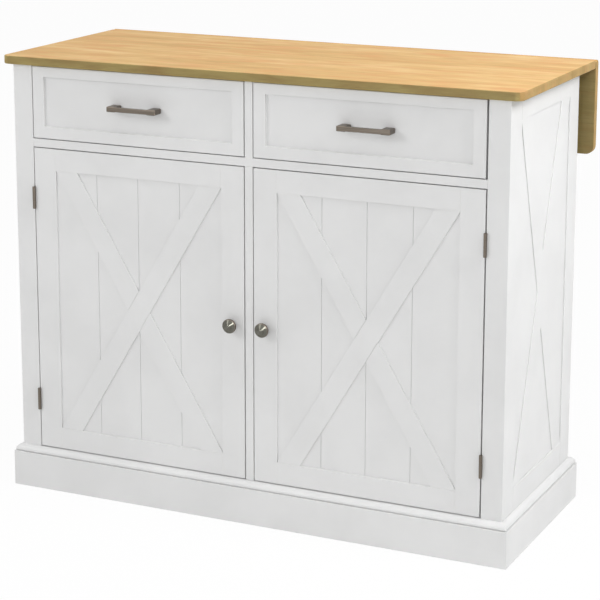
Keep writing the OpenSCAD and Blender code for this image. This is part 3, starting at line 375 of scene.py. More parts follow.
def oiled_staves(name, across, first_seam, tones, patch, streak):
    """Oiled hardwood in 64 mm staves: honey tones that drift along the board, soft salmon
    patches 26 mm wide, dark streaks 5 mm wide, a few small knots, pores drawn 1 mm wide so
    that they show, and a thin glue line at each joint, under a soft sheen."""
    material = bpy.data.materials.new(name)
    material.use_nodes = True
    tree = material.node_tree
    shader = tree.nodes["Principled BSDF"]
    place = add(tree, "ShaderNodeTexCoord").outputs["Object"]
    axes = add(tree, "ShaderNodeSeparateXYZ", {0: place})
    past_seam = add(tree, "ShaderNodeMath", {
        0: axes.outputs[across], 1: -first_seam,
    }, operation="ADD")
    counted = add(tree, "ShaderNodeMath", {
        0: past_seam.outputs[0], 1: STAVE,
    }, operation="DIVIDE")
    stave_number = add(tree, "ShaderNodeMath", {0: counted.outputs[0]}, operation="FLOOR")
    stave_own = add(tree, "ShaderNodeTexWhiteNoise", {"W": stave_number.outputs[0]},
                    noise_dimensions="1D")
    apart = add(tree, "ShaderNodeVectorMath", {
        0: stave_own.outputs["Color"], 1: (5.0, 5.0, 5.0), 2: place,
    }, operation="MULTIPLY_ADD")

    # Tone, patches, streaks and pores, each stretched along the grain
    layers = []
    for start, scale, detail, twist in ((place, (5.5, 30.0, 30.0), 6.0, 0.5),
                                        (apart.outputs[0], (8.5, 38.0, 38.0), 5.0, 0.5),
                                        (apart.outputs[0], (20.0, 190.0, 190.0), 4.0, 0.6),
                                        (apart.outputs[0], (28.0, 900.0, 900.0), 2.0, 0.0)):
        laid = add(tree, "ShaderNodeMapping", {
            "Vector": start, "Scale": scale, "Location": (detail, scale[0], twist),
        })
        layers.append(add(tree, "ShaderNodeTexNoise", {
            "Vector": laid.outputs[0], "Scale": 1.0, "Detail": detail, "Distortion": twist,
        }).outputs["Fac"])
    drift, patches, streaks, pores = layers

    own_part = add(tree, "ShaderNodeMath", {0: stave_own.outputs["Value"], 1: 0.08, 2: 0.06},
                   operation="MULTIPLY_ADD")
    drift_part = add(tree, "ShaderNodeMath", {0: drift, 1: 0.5, 2: own_part.outputs[0]},
                     operation="MULTIPLY_ADD")
    tone_place = add(tree, "ShaderNodeMath", {0: streaks, 1: 0.3, 2: drift_part.outputs[0]},
                     operation="MULTIPLY_ADD")
    base = add(tree, "ShaderNodeValToRGB", {"Fac": tone_place.outputs[0]},
               stops=list(zip((0.36, 0.5, 0.64), map(colour, tones))))

    patch_share = add(tree, "ShaderNodeMapRange", {
        "Value": patches, "From Min": 0.47, "From Max": 0.68, "To Min": 0.0, "To Max": 0.7,
    })
    patched = add(tree, "ShaderNodeMix", {
        0: patch_share.outputs["Result"], 6: base.outputs["Color"], 7: colour(patch),
    }, data_type="RGBA")
    streak_share = add(tree, "ShaderNodeMapRange", {
        "Value": streaks, "From Min": 0.55, "From Max": 0.78, "To Min": 0.0, "To Max": 0.5,
    })
    streaked = add(tree, "ShaderNodeMix", {
        0: streak_share.outputs["Result"], 6: patched.outputs[2], 7: colour(streak),
    }, data_type="RGBA")

    # Knots: one spot in some cells 300 mm by 110 mm, drawn out along the grain
    spread = add(tree, "ShaderNodeMapping", {"Vector": apart.outputs[0],
                                             "Scale": (3.3, 9.0, 9.0)})
    cells = add(tree, "ShaderNodeTexVoronoi", {"Vector": spread.outputs[0], "Scale": 1.0})
    near = add(tree, "ShaderNodeMapRange", {
        "Value": cells.outputs["Distance"], "From Min": 0.03, "From Max": 0.17,
        "To Min": 1.0, "To Max": 0.0,
    }, interpolation_type="SMOOTHSTEP")
    cell_own = add(tree, "ShaderNodeSeparateColor", {0: cells.outputs["Color"]})
    chosen = add(tree, "ShaderNodeMath", {0: cell_own.outputs[0], 1: 0.62},
                 operation="GREATER_THAN")
    knot_share = add(tree, "ShaderNodeMath", {0: near.outputs["Result"],
                                              1: chosen.outputs[0]}, operation="MULTIPLY")
    knot_soft = add(tree, "ShaderNodeMath", {0: knot_share.outputs[0], 1: 0.55},
                    operation="MULTIPLY")
    knotted = add(tree, "ShaderNodeMix", {
        0: knot_soft.outputs[0], 6: streaked.outputs[2], 7: colour(streak),
    }, data_type="RGBA")

    # Glue line: 0.5 mm in wood, drawn 1.4 mm wide so that it shows
    fraction = add(tree, "ShaderNodeMath", {0: counted.outputs[0]}, operation="FRACT")
    from_middle = add(tree, "ShaderNodeMath", {0: fraction.outputs[0], 1: 0.5},
                      operation="SUBTRACT")
    off = add(tree, "ShaderNodeMath", {0: from_middle.outputs[0]}, operation="ABSOLUTE")
    glue = add(tree, "ShaderNodeMapRange", {
        "Value": off.outputs[0], "From Min": 0.489, "From Max": 0.5, "To Min": 0.0,
        "To Max": 0.35,
    })
    glued = add(tree, "ShaderNodeMix", {
        0: glue.outputs["Result"], 6: knotted.outputs[2], 7: colour(streak),
    }, data_type="RGBA")
    pore_shade = add(tree, "ShaderNodeMapRange", {
        "Value": pores, "From Min": 0.3, "From Max": 0.7, "To Min": 0.93, "To Max": 1.04,
    })
    shaded = add(tree, "ShaderNodeVectorMath", {
        0: glued.outputs[2], 1: pore_shade.outputs["Result"],
    }, operation="MULTIPLY")
    tree.links.new(shaded.outputs[0], shader.inputs["Base Color"])

    shader.inputs["Specular IOR Level"].default_value = 0.22
    sheen = add(tree, "ShaderNodeMapRange", {
        "Value": pores, "To Min": 0.5, "To Max": 0.68,
    })
    tree.links.new(sheen.outputs["Result"], shader.inputs["Roughness"])
    relief = add(tree, "ShaderNodeBump", {"Height": pores, "Strength": 0.25,
                                          "Distance": 0.0004})
    tree.links.new(relief.outputs["Normal"], shader.inputs["Normal"])
    return material


# From the darkest grain to the lightest, then each finish's patches and streaks
FACE_TONES = ("#cca162", "#dfb676", "#edca8f")
# The long edges and underside are painted darker than the face: painted shade, as if those faces
# stood out of the light
EDGE_TONES_IN_PAINTED_SHADE = ("#95844f", "#a4925c", "#b09e64")
# The leaf's inner face and lower edge are painted darker still: painted shade from the worktop
# above them and the cabinet beside them
LEAF_INNER_FACE_PAINTED_SHADE_TONES = ("#827244", "#8f7e4f", "#9a8957")
END_TONES = ("#9a7f4a", "#a98c57", "#b29661")
FACE_MARKS = ("#dc9e64", "#b9854d")
# The patches and streaks of the edges and underside are darker too, part of the same painted
# shade
EDGE_MARKS_IN_PAINTED_SHADE = ("#8e7145", "#75643b")
END_MARKS = ("#b98f5c", "#947749")
TOP_EASE = 2.0 * MM
worktop_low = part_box("worktop")[0]


def wood_set(where, across, first_seam, painted_shade_tones):
    """The three finishes of one board: its face, its long edges and underside painted darker as
    shade, its ends.
    """
    return [
        oiled_staves(f"oiled hardwood staves, {where} face", across, first_seam,
                     FACE_TONES, *FACE_MARKS),
        oiled_staves(f"oiled hardwood staves, {where} long edge and underside", across,
                     first_seam, painted_shade_tones, *EDGE_MARKS_IN_PAINTED_SHADE),
        oiled_staves(f"oiled hardwood staves, {where} end grain", across, first_seam,
                     END_TONES, *END_MARKS),
    ]


def spread_wood(shape, *best_ways):
    """Gives the ends the third finish and what faces none of the best ways the second, whose
    darker tones are painted shade.
    """
    shape.normal_update()
    for face in shape.faces:
        if abs(face.normal.x) > 0.7:
            face.material_index = 2
        elif all(face.normal.dot(Vector(way)) < 0.6 for way in best_ways):
            face.material_index = 1


top_shape = cad_shape("worktop")
# The worktop's edges and underside take the darker finish, which is painted shade
spread_wood(top_shape, (0, 0, 1))
finish_piece("worktop_board", top_shape, "cabinet", ["worktop"],
             wood_set("worktop", 1, worktop_low.y, EDGE_TONES_IN_PAINTED_SHADE), TOP_EASE, cuts=3)
finish_piece("worktop_angle_set", cad_shape("worktop_brackets"), "cabinet",
             ["worktop_brackets"], [zinc], SHEET_EASE)


def screw_head_tree():
    """A tree that puts a cross-slotted screw head on each point, turned at random about
    the way that the point faces; its crown is as wide as 0.6 of its foot."""
    tree = bpy.data.node_groups.new("screw_heads", "GeometryNodeTree")
    for name, kind in (("Points", "Geometry"), ("Radius", "Float"), ("Height", "Float"),
                       ("Slot Width", "Float"), ("Turn Seed", "Int"),
                       ("Finish", "Material")):
        tree.interface.new_socket(name, in_out="INPUT", socket_type=f"NodeSocket{kind}")
    tree.interface.new_socket("Heads", in_out="OUTPUT", socket_type="NodeSocketGeometry")
    given = add(tree, "NodeGroupInput").outputs
    crown = add(tree, "ShaderNodeMath", {0: given["Radius"], 1: 0.6}, operation="MULTIPLY")
    head = add(tree, "GeometryNodeMeshCone", {
        "Vertices": 16, "Radius Top": crown.outputs[0], "Radius Bottom": given["Radius"],
        "Depth": given["Height"],
    })
    at_top = add(tree, "ShaderNodeCombineXYZ", {"Z": given["Height"]})
    arms = []
    for long_way, short_way in (("X", "Y"), ("Y", "X")):
        size = add(tree, "ShaderNodeCombineXYZ", {
            long_way: given["Radius"], short_way: given["Slot Width"], "Z": given["Height"],
        })
        arm = add(tree, "GeometryNodeMeshCube", {"Size": size.outputs[0]})
        arms.append(add(tree, "GeometryNodeTransform", {
            "Geometry": arm.outputs["Mesh"], "Translation": at_top.outputs[0],
        }))
    cross = add(tree, "GeometryNodeMeshBoolean", {"Mesh 2": arms[0].outputs[0]},
                operation="UNION")
    tree.links.new(arms[1].outputs[0], cross.inputs["Mesh 2"])
    slotted = add(tree, "GeometryNodeMeshBoolean", {
        "Mesh 1": head.outputs["Mesh"], "Mesh 2": cross.outputs["Mesh"],
    }, operation="DIFFERENCE")
    facing = add(tree, "GeometryNodeInputNamedAttribute", {"Name": "facing"},
                 data_type="FLOAT_VECTOR")
    outward = add(tree, "FunctionNodeAlignRotationToVector", {
        "Vector": facing.outputs["Attribute"],
    }, axis="Z")
    # Socket 3 is the largest turn, half a circle
    turn = add(tree, "FunctionNodeRandomValue", {"Seed": given["Turn Seed"], 3: math.pi},
               data_type="FLOAT")
    about = add(tree, "FunctionNodeAxisAngleToRotation", {
        "Axis": (0, 0, 1), "Angle": turn.outputs[1],
    })
    turned = add(tree, "FunctionNodeRotateRotation", {
        0: outward.outputs[0], 1: about.outputs[0],
    }, rotation_space="LOCAL")
    placed = add(tree, "GeometryNodeInstanceOnPoints", {
        "Points": given["Points"], "Instance": slotted.outputs["Mesh"],
        "Rotation": turned.outputs[0],
    })
    real = add(tree, "GeometryNodeRealizeInstances", {0: placed.outputs[0]})
    finished = add(tree, "GeometryNodeSetMaterial", {
        "Geometry": real.outputs[0], "Material": given["Finish"],
    })
    add(tree, "NodeGroupOutput", {"Heads": finished.outputs[0]})
    return tree


SCREW_HEADS = screw_head_tree()
SLOT_TO_RADIUS = 0.24


def drive_screws(name, body, finish, radius, height, places):
    """Makes the screw heads of one body: each stands on a point in mm and faces a way."""
    points = bpy.data.meshes.new(name + "_points")
    points.from_pydata([Vector(point) * MM for point, _ in places], [], [])
    ways = points.attributes.new("facing", "FLOAT_VECTOR", "POINT")
    ways.data.foreach_set("vector", [part for _, way in places for part in way])
    carrier = bpy.data.objects.new(name + "_points", points)
    bpy.context.collection.objects.link(carrier)
    grown = carrier.modifiers.new("screw_heads", "NODES")
    grown.node_group = SCREW_HEADS
    wanted = {"Radius": radius * MM, "Height": height * MM,
              "Slot Width": radius * SLOT_TO_RADIUS * MM, "Turn Seed": len(places),
              "Finish": finish}
    for item in SCREW_HEADS.interface.items_tree:
        if item.name in wanted:
            grown[item.identifier] = wanted[item.name]
    ready = carrier.evaluated_get(bpy.context.evaluated_depsgraph_get())
    mesh = bpy.data.meshes.new_from_object(ready)
    mesh.name = name
    bpy.data.objects.remove(carrier)
    heads = bpy.data.objects.new(name, mesh)
    bpy.context.collection.objects.link(heads)
    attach(heads, body)


# The angles stand in two rows, against the side boards and both faces of the partition
ANGLE_THICK = 2.0
ANGLE_SCREW_IN = 15.6
ANGLE_ROWS = (-93.9, 89.25)
under_top = worktop_low.z / MM
side_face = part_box("right_side_panel")[0].x / MM
partition_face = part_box("upper_partition")[1].x / MM
angle_screws = []
for y in ANGLE_ROWS:
    for x, way in ((-side_face, 1), (-partition_face, -1), (partition_face, 1),
                   (side_face, -1)):
        angle_screws += [((x + way * ANGLE_THICK, y, under_top - ANGLE_SCREW_IN), (way, 0, 0)),
                         ((x + way * ANGLE_SCREW_IN, y, under_top - ANGLE_THICK), (0, 0, -1))]
drive_screws("worktop_angle_screws", "cabinet", zinc, 3.4, 1.6, angle_screws)

# -------------------------------------------------------- leaf and hinges
# The leaf is glued up like the worktop, with a full round along its hinge edge; three
# steel arms under the worktop carry it on pins in cups let into its edge.

LEAF_EASE = 1.0 * MM
leaf_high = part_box("drop_leaf")[1]
leaf_shape = cad_shape("drop_leaf")
# The leaf's inner face and lower edge take the darker finish, which is painted shade
spread_wood(leaf_shape, (0, 1, 0), (0, 0, 1))
finish_piece("leaf_board", leaf_shape, "leaf", ["drop_leaf"],
             wood_set("leaf", 2, leaf_high.z, LEAF_INNER_FACE_PAINTED_SHADE_TONES), LEAF_EASE, cuts=3)
finish_piece("leaf_hinge_arm_set", cad_shape("leaf_hinge_arms"), "cabinet",
             ["leaf_hinge_arms"], [zinc], SHEET_EASE)
finish_piece("leaf_hinge_cup_set", cad_shape("leaf_hinge_cups"), "leaf",
             ["leaf_hinge_cups"], [zinc], SHEET_EASE)
finish_piece("leaf_pin_set", cad_shape("leaf_pins"), "leaf", ["leaf_pins"],
             [zinc], SHEET_EASE)

# Each hinge is screwed up into the worktop through its arm, and into the leaf through its
# cup, with a screw on either side of its middle
LEAF_HINGES = (-440, 0, 440)
ARM_SCREW_OUT, ARM_SCREW_Y, ARM_SCREW_Z = 11, 208, 895
CUP_SCREW_OUT, CUP_SCREW_Y, CUP_SCREW_Z = 10, 223.8, 884.9
drive_screws("leaf_hinge_arm_screws", "cabinet", zinc, 3.4, 1.5,
             [((x + side * ARM_SCREW_OUT, ARM_SCREW_Y, ARM_SCREW_Z), (0, 0, -1))
              for x in LEAF_HINGES for side in (-1, 1)])
drive_screws("leaf_hinge_cup_screws", "leaf", zinc, 3.2, 1.1,
             [((x + side * CUP_SCREW_OUT, CUP_SCREW_Y, CUP_SCREW_Z), (0, -1, 0))
              for x in LEAF_HINGES for side in (-1, 1)])

# ------------------------------------------------------------------- stays
# A flat steel strut on each side swings on a shoe under the leaf, and its foot pin slides
# up a slotted channel on the back of the cabinet and drops into a rest.

finish_piece("stay_shoe_set", cad_shape("stay_shoes"), "leaf", ["stay_shoes"],
             [zinc], SHEET_EASE)
finish_piece("stay_channel_set", cad_shape("stay_channels"), "cabinet",
             ["stay_channels"], [zinc], SHEET_EASE)
for side in ("left", "right"):
    cad = f"{side}_stay"
    finish_piece(cad + "_strut", cad_shape(cad), cad, [cad], [zinc], SHEET_EASE)
STAYS = (-300, 300)
SHOE_SCREW_Y = 223
SHOE_SCREW_HEIGHTS = (827.5, 857.5)
CHANNEL_WEB = 2.0
CHANNEL_SCREW_HEIGHTS = (738.5, 820)
channel_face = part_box("stay_channels")[0].y / MM + CHANNEL_WEB
drive_screws("stay_shoe_screws", "leaf", zinc, 3.4, 1.4,
             [((x, SHOE_SCREW_Y, z), (0, -1, 0)) for x in STAYS for z in SHOE_SCREW_HEIGHTS])
drive_screws("stay_channel_screws", "cabinet", zinc, 3.2, 0.9,
             [((x, channel_face, z), (0, 1, 0)) for x in STAYS for z in CHANNEL_SCREW_HEIGHTS])

# ----------------------------------------------------------------- drawers
# Each drawer is a birch box with its bottom let in, a white front with a sunk panel, and
# a flat metal pull screwed on from behind.


def brushed_nickel(name, along, tones, dull):
    """Dark nickel plate, brushed along one axis: a warm grey metal with fine lines 1 mm
    apart, coarser than real ones so that they show, that stretch what it reflects."""
    material = bpy.data.materials.new(name)
    material.use_nodes = True
    tree = material.node_tree
    shader = tree.nodes["Principled BSDF"]
    shader.inputs["Metallic"].default_value = 1.0
    place = add(tree, "ShaderNodeTexCoord").outputs["Object"]
    stretch = [900.0, 900.0, 900.0]
    stretch[along] = 12.0
    laid = add(tree, "ShaderNodeMapping", {"Vector": place, "Scale": stretch})
    lines = add(tree, "ShaderNodeTexNoise", {
        "Vector": laid.outputs[0], "Scale": 1.0, "Detail": 3.0,
    })
    tint = add(tree, "ShaderNodeValToRGB", {"Fac": lines.outputs["Fac"]},
               stops=[(0.3, colour(tones[0])), (0.7, colour(tones[1]))])
    tree.links.new(tint.outputs["Color"], shader.inputs["Base Color"])
    blur = add(tree, "ShaderNodeMapRange", {
        "Value": lines.outputs["Fac"], "To Min": dull, "To Max": dull + 0.12,
    })
    tree.links.new(blur.outputs["Result"], shader.inputs["Roughness"])
    relief = add(tree, "ShaderNodeBump", {
        "Height": lines.outputs["Fac"], "Strength": 0.2, "Distance": 0.0002,
    })
    tree.links.new(relief.outputs["Normal"], shader.inputs["Normal"])
    return material


NICKEL_TONES = ("#635c54", "#7b7268")
NICKEL_DULL = 0.34
nickel_along_x = brushed_nickel("dark brushed nickel, lines side to side", 0, NICKEL_TONES,
                                NICKEL_DULL)
nickel_upright = brushed_nickel("dark brushed nickel, lines upright", 2, NICKEL_TONES,
                                NICKEL_DULL)


def add_block(shape, low, high):
    """Adds a block between two corners to a shape."""
    corners = [shape.verts.new((x, y, z)) for z in (low[2], high[2])
               for y in (low[1], high[1]) for x in (low[0], high[0])]
    for ring in ((0, 2, 3, 1), (4, 5, 7, 6), (0, 1, 5, 4), (2, 6, 7, 3), (0, 4, 6, 2),
                 (1, 3, 7, 5)):
        shape.faces.new([corners[i] for i in ring])


# The sunk field of a front, and the border round it
SUNK = 5.5 * MM
BORDER_SIDE = 25.5 * MM
BORDER_LOW = 24.0 * MM
BORDER_HIGH = 21.0 * MM
FRONT_EASE = 0.5 * MM
# Each front was fitted by hand: its right edge stands this much further from the post
DRAWER_TRIM = {"left": 0.3 * MM, "right": 2.2 * MM}
RUNNER_EASE = 0.2 * MM
PULL_EASE = 0.6 * MM
PULL_SCREW_FROM_MIDDLE = 45
# The runner's web stands this far out from the box, and its screws are sunk this far in
# from the web's face
RUNNER_WEB_OUT = 1.2
RUNNER_SCREW_IN = 2.4
RUNNER_SCREW_ROW = (-168, -30, 112)
RUNNER_SCREW_UP = 793


def drawer_front_shape(low, high):
    """A slab with a sunk field inside a border on its front."""
    shape = bmesh.new()
    x = (low.x, low.x + BORDER_SIDE, high.x - BORDER_SIDE, high.x)
    z = (low.z, low.z + BORDER_LOW, high.z - BORDER_HIGH, high.z)

    def ring(first, last, y):
        return [shape.verts.new(place) for place in (
            (x[first], y, z[first]), (x[last], y, z[first]),
            (x[last], y, z[last]), (x[first], y, z[last]))]

    rings = [ring(0, 3, high.y), ring(0, 3, low.y), ring(1, 2, low.y), ring(1, 2, low.y + SUNK)]
    shape.faces.new(rings[0])
    shape.faces.new(rings[3])
    for outer, inner in zip(rings, rings[1:]):
        for i in range(4):
            shape.faces.new((outer[i], outer[i - 1], inner[i - 1], inner[i]))
    bmesh.ops.recalc_face_normals(shape, faces=shape.faces)
    return shape


for side in ("left", "right"):
    body = f"{side}_drawer"
    low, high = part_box(body + "_front")
    high.x -= DRAWER_TRIM[side]
    finish_piece(body + "_front_board", drawer_front_shape(low, high), body,
                 [body + "_front"], [white_paint, white_arris_painted_highlight], FRONT_EASE, arris=1)
    for part, finish in (("left_side", bare_lengthwise), ("right_side", bare_lengthwise),
                         ("back", bare_crosswise), ("bottom", bare_crosswise)):
        finish_piece(f"{body}_{part}_board", cad_shape(f"{body}_{part}"), body,
                     [f"{body}_{part}"], [finish], THIN_EASE)
    finish_piece(body + "_runner_pair", cad_shape(body + "_runners"), body,
                 [body + "_runners"], [zinc], RUNNER_EASE)
    finish_piece(body + "_pull_bar", cad_shape(body + "_pull"), body,
                 [body + "_pull"], [nickel_along_x], PULL_EASE)
    pull_low, pull_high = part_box(body + "_pull")
    middle = (pull_low + pull_high) / 2 / MM
    drive_screws(body + "_pull_screws", body, zinc, 4.4, 2.2,
                 [((middle.x + way * PULL_SCREW_FROM_MIDDLE, high.y / MM, middle.z), (0, 1, 0))
                  for way in (-1, 1)])
    webs = ((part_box(body + "_left_side")[0].x / MM - RUNNER_WEB_OUT, -1),
            (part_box(body + "_right_side")[1].x / MM + RUNNER_WEB_OUT, 1))
    drive_screws(body + "_runner_screws", body, zinc, 3.2, 0.9,
                 [((x - way * RUNNER_SCREW_IN, y, RUNNER_SCREW_UP), (way, 0, 0))
                  for x, way in webs for y in RUNNER_SCREW_ROW])

# ------------------------------------------------------------------- doors
# Each door is a framed panel of four V-jointed boards with two crossed braces on it,
# sprayed white, on two butt hinges, with a turned knob.

STILE = 50.0 * MM
RAIL = 45.0 * MM
BOARDS = 4
BOARD_SLIT = 0.35 * MM
BOARD_CHAMFER = 0.8 * MM
TONGUE_BACK = 2.6 * MM
FRAME_EASE = 0.35 * MM
BRACE_EASE = 0.3 * MM
KNOB_HEIGHT = 409
# Each door was fitted by hand: its right edge stands this much further from the post
DOOR_TRIM = {"left": 0.4 * MM, "right": 0.9 * MM}


def door_frame_shape(low, high):
    """Two full-height stiles with two rails between them, each its own block."""
    shape = bmesh.new()
    inner = (low.x + STILE, high.x - STILE)
    add_block(shape, low, (inner[0], high.y, high.z))
    add_block(shape, (inner[1], low.y, low.z), high)
    add_block(shape, (inner[0], low.y, low.z), (inner[1], high.y, low.z + RAIL))
    add_block(shape, (inner[0], low.y, high.z - RAIL), (inner[1], high.y, high.z))
    return shape


def door_boards_shape(low, high, inner):
    """Upright boards with chamfered edges, a hair apart, and their tongues behind."""
    shape = bmesh.new()
    pitch = (inner[1] - inner[0]) / BOARDS
    for i in range(BOARDS):
        x0 = low.x if i == 0 else inner[0] + i * pitch + BOARD_SLIT / 2
        x1 = high.x if i == BOARDS - 1 else inner[0] + (i + 1) * pitch - BOARD_SLIT / 2
        outline = [(x0, high.y), (x0, low.y + BOARD_CHAMFER), (x0 + BOARD_CHAMFER, low.y),
                   (x1 - BOARD_CHAMFER, low.y), (x1, low.y + BOARD_CHAMFER), (x1, high.y)]
        ends = [[shape.verts.new((x, y, z)) for x, y in outline] for z in (low.z, high.z)]
        shape.faces.new(ends[0])
        shape.faces.new(ends[1])
        for k in range(len(outline)):
            shape.faces.new((ends[0][k], ends[0][k - 1], ends[1][k - 1], ends[1][k]))
        if i:
            add_block(shape, (x0 - 2 * BOARD_SLIT, low.y + TONGUE_BACK, low.z),
                      (x0 + BOARD_SLIT, high.y - BOARD_CHAMFER, high.z))
    bmesh.ops.recalc_face_normals(shape, faces=shape.faces)
    return shape


# A turned knob in section, as its radius and its distance out from the door, in mm
KNOB_STEM = ((0, 0), (5.0, 0), (5.0, 1.2), (4.7, 1.7), (4.5, 2.6), (4.4, 4), (4.4, 8.6),
             (4.8, 10.2), (6.2, 11.6), (9.0, 12.8), (12.0, 13.7), (13.6, 14.6), (14.3, 15.5),
             (14.5, 16.4), (14.5, 19.0), (14.3, 19.7), (13.8, 20.2), (13.3, 20.4))
KNOB_FACE = ((13.3, 20.4), (12.6, 20.6), (9.0, 22.1), (4.5, 24.0), (1.2, 25.4), (0, 26))
KNOB_STEPS = 48
KNOB_MERGE_WITHIN = 0.0001 * MM


def knob_shape(x, y, z):
    """A knob turned about a line along Y, laid out round its face and out to the rim."""
    shape = bmesh.new()
    layout = shape.loops.layers.uv.new("UVMap")
    for part, profile in enumerate((KNOB_STEM, KNOB_FACE)):
        rings = [[shape.verts.new((x + r * math.cos(turn) * MM, y - out * MM,
                                   z + r * math.sin(turn) * MM))
                  for turn in (2 * math.pi * i / KNOB_STEPS for i in range(KNOB_STEPS))]
                 for r, out in profile]
        for level, (near, far) in enumerate(zip(rings, rings[1:])):
            for i in range(KNOB_STEPS):
                face = shape.faces.new((near[i - 1], near[i], far[i], far[i - 1]))
                face.material_index = part
                for loop, (u, v) in zip(face.loops, ((0, 0), (1, 0), (1, 1), (0, 1))):
                    loop[layout].uv = (((i - 1) % KNOB_STEPS + u) / KNOB_STEPS,
                                       profile[level + v][0] / KNOB_FACE[0][0])
    bmesh.ops.remove_doubles(shape, verts=shape.verts, dist=KNOB_MERGE_WITHIN)
    bmesh.ops.recalc_face_normals(shape, faces=shape.faces)
    return shape


def spun_nickel(name, tones, dull):
    """Dark nickel spun on a lathe: rings round the middle, drawn 0.8 mm wide, coarser than
    real ones, which draw each light out into a bright wedge from the middle to the rim."""
    material = bpy.data.materials.new(name)
    material.use_nodes = True
    tree = material.node_tree
    shader = tree.nodes["Principled BSDF"]
    shader.inputs["Metallic"].default_value = 1.0
    shader.inputs["Anisotropic"].default_value = 1.0
    shader.inputs["Anisotropic Rotation"].default_value = 0.25
    laid = add(tree, "ShaderNodeSeparateXYZ", {
        0: add(tree, "ShaderNodeUVMap", uv_map="UVMap").outputs[0],
    })
    turn = add(tree, "ShaderNodeMath", {0: laid.outputs[0], 1: 2 * math.pi},
               operation="MULTIPLY")
    across = add(tree, "ShaderNodeMath", {0: turn.outputs[0]}, operation="COSINE")
    up = add(tree, "ShaderNodeMath", {0: turn.outputs[0]}, operation="SINE")
    # With the mottle's scale of 1.3 this makes 17 rings between the middle and the rim
    outwards = add(tree, "ShaderNodeMath", {0: laid.outputs[1], 1: 13.0}, operation="MULTIPLY")
    wound = add(tree, "ShaderNodeCombineXYZ", {
        0: across.outputs[0], 1: up.outputs[0], 2: outwards.outputs[0],
    })
    mottle = add(tree, "ShaderNodeTexNoise", {
        "Vector": wound.outputs[0], "Scale": 1.3, "Detail": 4.0, "Roughness": 0.65,
    })
    tint = add(tree, "ShaderNodeValToRGB", {"Fac": mottle.outputs["Fac"]},
               stops=[(0.35, colour(tones[0])), (0.65, colour(tones[1]))])
    tree.links.new(tint.outputs["Color"], shader.inputs["Base Color"])
    blur = add(tree, "ShaderNodeMapRange", {
        "Value": mottle.outputs["Fac"], "To Min": dull, "To Max": dull + 0.1,
    })
    tree.links.new(blur.outputs["Result"], shader.inputs["Roughness"])
    rings = add(tree, "ShaderNodeTangent", direction_type="UV_MAP", uv_map="UVMap")
    tree.links.new(rings.outputs[0], shader.inputs["Tangent"])
    return material


nickel_spun = spun_nickel("dark nickel spun on a lathe", ("#54534d", "#7a7970"), 0.25)

# Each hinge has two screws in each half: they stand this far to either side of the line
# that the two halves fold on, above and below the hinge's middle
HINGE_LINE = 490
HINGE_SCREW_FROM_LINE = 1.0
HINGE_SCREW_Y = -207.75
HINGE_HEIGHTS = (193, 624)
HINGE_SCREW_LIFTS = (-11.5, 11.5)

for side in ("left", "right"):
    body = f"{side}_door"
    low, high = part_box(body + "_frame")
    high.x -= DOOR_TRIM[side]
    finish_piece(body + "_frame_work", door_frame_shape(low, high), body,
                 [body + "_frame"], [white_paint, white_arris_painted_highlight], FRAME_EASE, arris=1)
    panel_low, panel_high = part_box(body + "_boards")
    finish_piece(body + "_board_set",
                 door_boards_shape(panel_low, panel_high, (low.x + STILE, high.x - STILE)),
                 body, [body + "_boards"], [white_paint])
    finish_piece(body + "_brace_work", cad_shape(body + "_brace"), body,
                 [body + "_brace"], [white_paint, white_arris_painted_highlight], BRACE_EASE, arris=1)
    knob_low, knob_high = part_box(body + "_knob")
    middle = (knob_low.x + knob_high.x) / 2
    finish_piece(body + "_knob_turning", knob_shape(middle, low.y, KNOB_HEIGHT * MM), body,
                 [body + "_knob"], [nickel_upright, nickel_spun])
    drive_screws(body + "_knob_screw", body, zinc, 4.4, 2.2,
                 [((middle / MM, high.y / MM, KNOB_HEIGHT), (0, 1, 0))])
    finish_piece(body + "_hinge_leaves", cad_shape(body + "_hinges"), body,
                 [body + "_hinges"], [nickel_upright], SHEET_EASE)
    way = -1 if side == "left" else 1
    for half_body, half, out in ((body, "door", 1), ("cabinet", "cabinet", -1)):
        screw_x = way * (HINGE_LINE - out * HINGE_SCREW_FROM_LINE)
        drive_screws(f"{side}_hinge_{half}_screws", half_body, nickel_upright,
                     1.65, 0.8,
                     [((screw_x, HINGE_SCREW_Y, z + lift), (way * out, 0, 0))
                      for z in HINGE_HEIGHTS for lift in HINGE_SCREW_LIFTS])
finish_piece("post_hinge_leaves", cad_shape("hinge_frame_leaves"), "cabinet",
             ["hinge_frame_leaves"], [nickel_upright], SHEET_EASE)
finish_piece("hinge_pin_set", cad_shape("hinge_pins"), "cabinet",
             ["hinge_pins"], [nickel_upright], SHEET_EASE)

# ----------------------------------------------------------------- catches
# Under the middle deck hang two moulded catches with a magnet in each nose, and a small
# steel plate on the back of each door meets them.


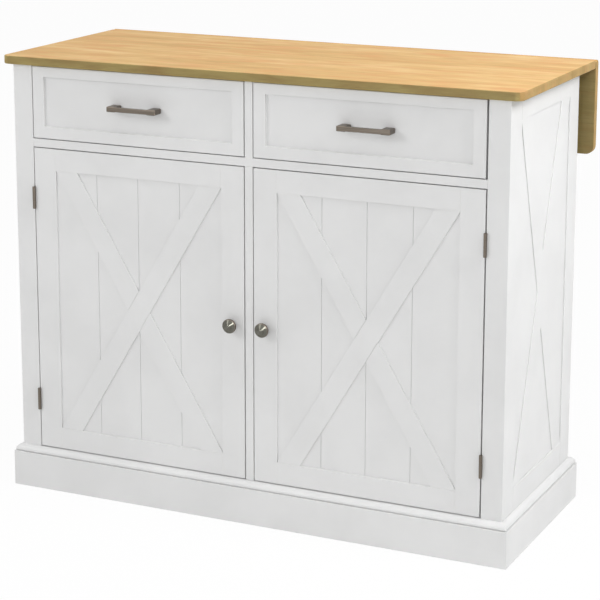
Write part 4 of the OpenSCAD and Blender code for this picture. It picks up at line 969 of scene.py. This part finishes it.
def moulded_plastic(name, tone, shaded):
    """White ABS from a textured mould: even and faintly warm, with a fine grain drawn 2 mm
    wide, coarser than the real one so that it shows."""
    material = bpy.data.materials.new(name)
    material.use_nodes = True
    tree = material.node_tree
    shader = tree.nodes["Principled BSDF"]
    place = add(tree, "ShaderNodeTexCoord").outputs["Object"]
    grain = add(tree, "ShaderNodeTexNoise", {"Vector": place, "Scale": 500.0, "Detail": 2.0})
    tint = add(tree, "ShaderNodeValToRGB", {"Fac": grain.outputs["Fac"]},
               stops=[(0.3, colour(shaded)), (0.7, colour(tone))])
    tree.links.new(tint.outputs["Color"], shader.inputs["Base Color"])
    relief = add(tree, "ShaderNodeBump", {
        "Height": grain.outputs["Fac"], "Strength": 0.3, "Distance": 0.0003,
    })
    tree.links.new(relief.outputs["Normal"], shader.inputs["Normal"])
    shader.inputs["Roughness"].default_value = 0.5
    return material


white_plastic = moulded_plastic("white ABS from a textured mould", "#ecebe6", "#e2e1db")
finish_piece("door_catch_pair", cad_shape("door_catches"), "cabinet",
             ["door_catches"], [white_plastic], THIN_EASE)
CATCH_X = 48.5
CATCH_SCREW_OUT, CATCH_SCREW_Y, CATCH_SCREW_Z = 17, -189, 717
# Each plate is let 0.2 mm into the door's back and stands 0.4 mm out of it
PLATE_HALF = 13
PLATE_Y = (-198.2, -197.6)
PLATE_Z = (718, 727)
PLATE_EASE = 0.15 * MM
drive_screws("door_catch_screws", "cabinet", zinc, 3.0, 1.2,
             [((side * CATCH_X + lean * CATCH_SCREW_OUT, CATCH_SCREW_Y, CATCH_SCREW_Z),
               (0, 0, -1)) for side in (-1, 1) for lean in (-1, 1)])
for side, way in (("left", -1), ("right", 1)):
    plate = bmesh.new()
    add_block(plate, Vector((way * CATCH_X - PLATE_HALF, PLATE_Y[0], PLATE_Z[0])) * MM,
              Vector((way * CATCH_X + PLATE_HALF, PLATE_Y[1], PLATE_Z[1])) * MM)
    finish_piece(f"{side}_door_strike_plate", plate, f"{side}_door", [],
                 [zinc], PLATE_EASE)
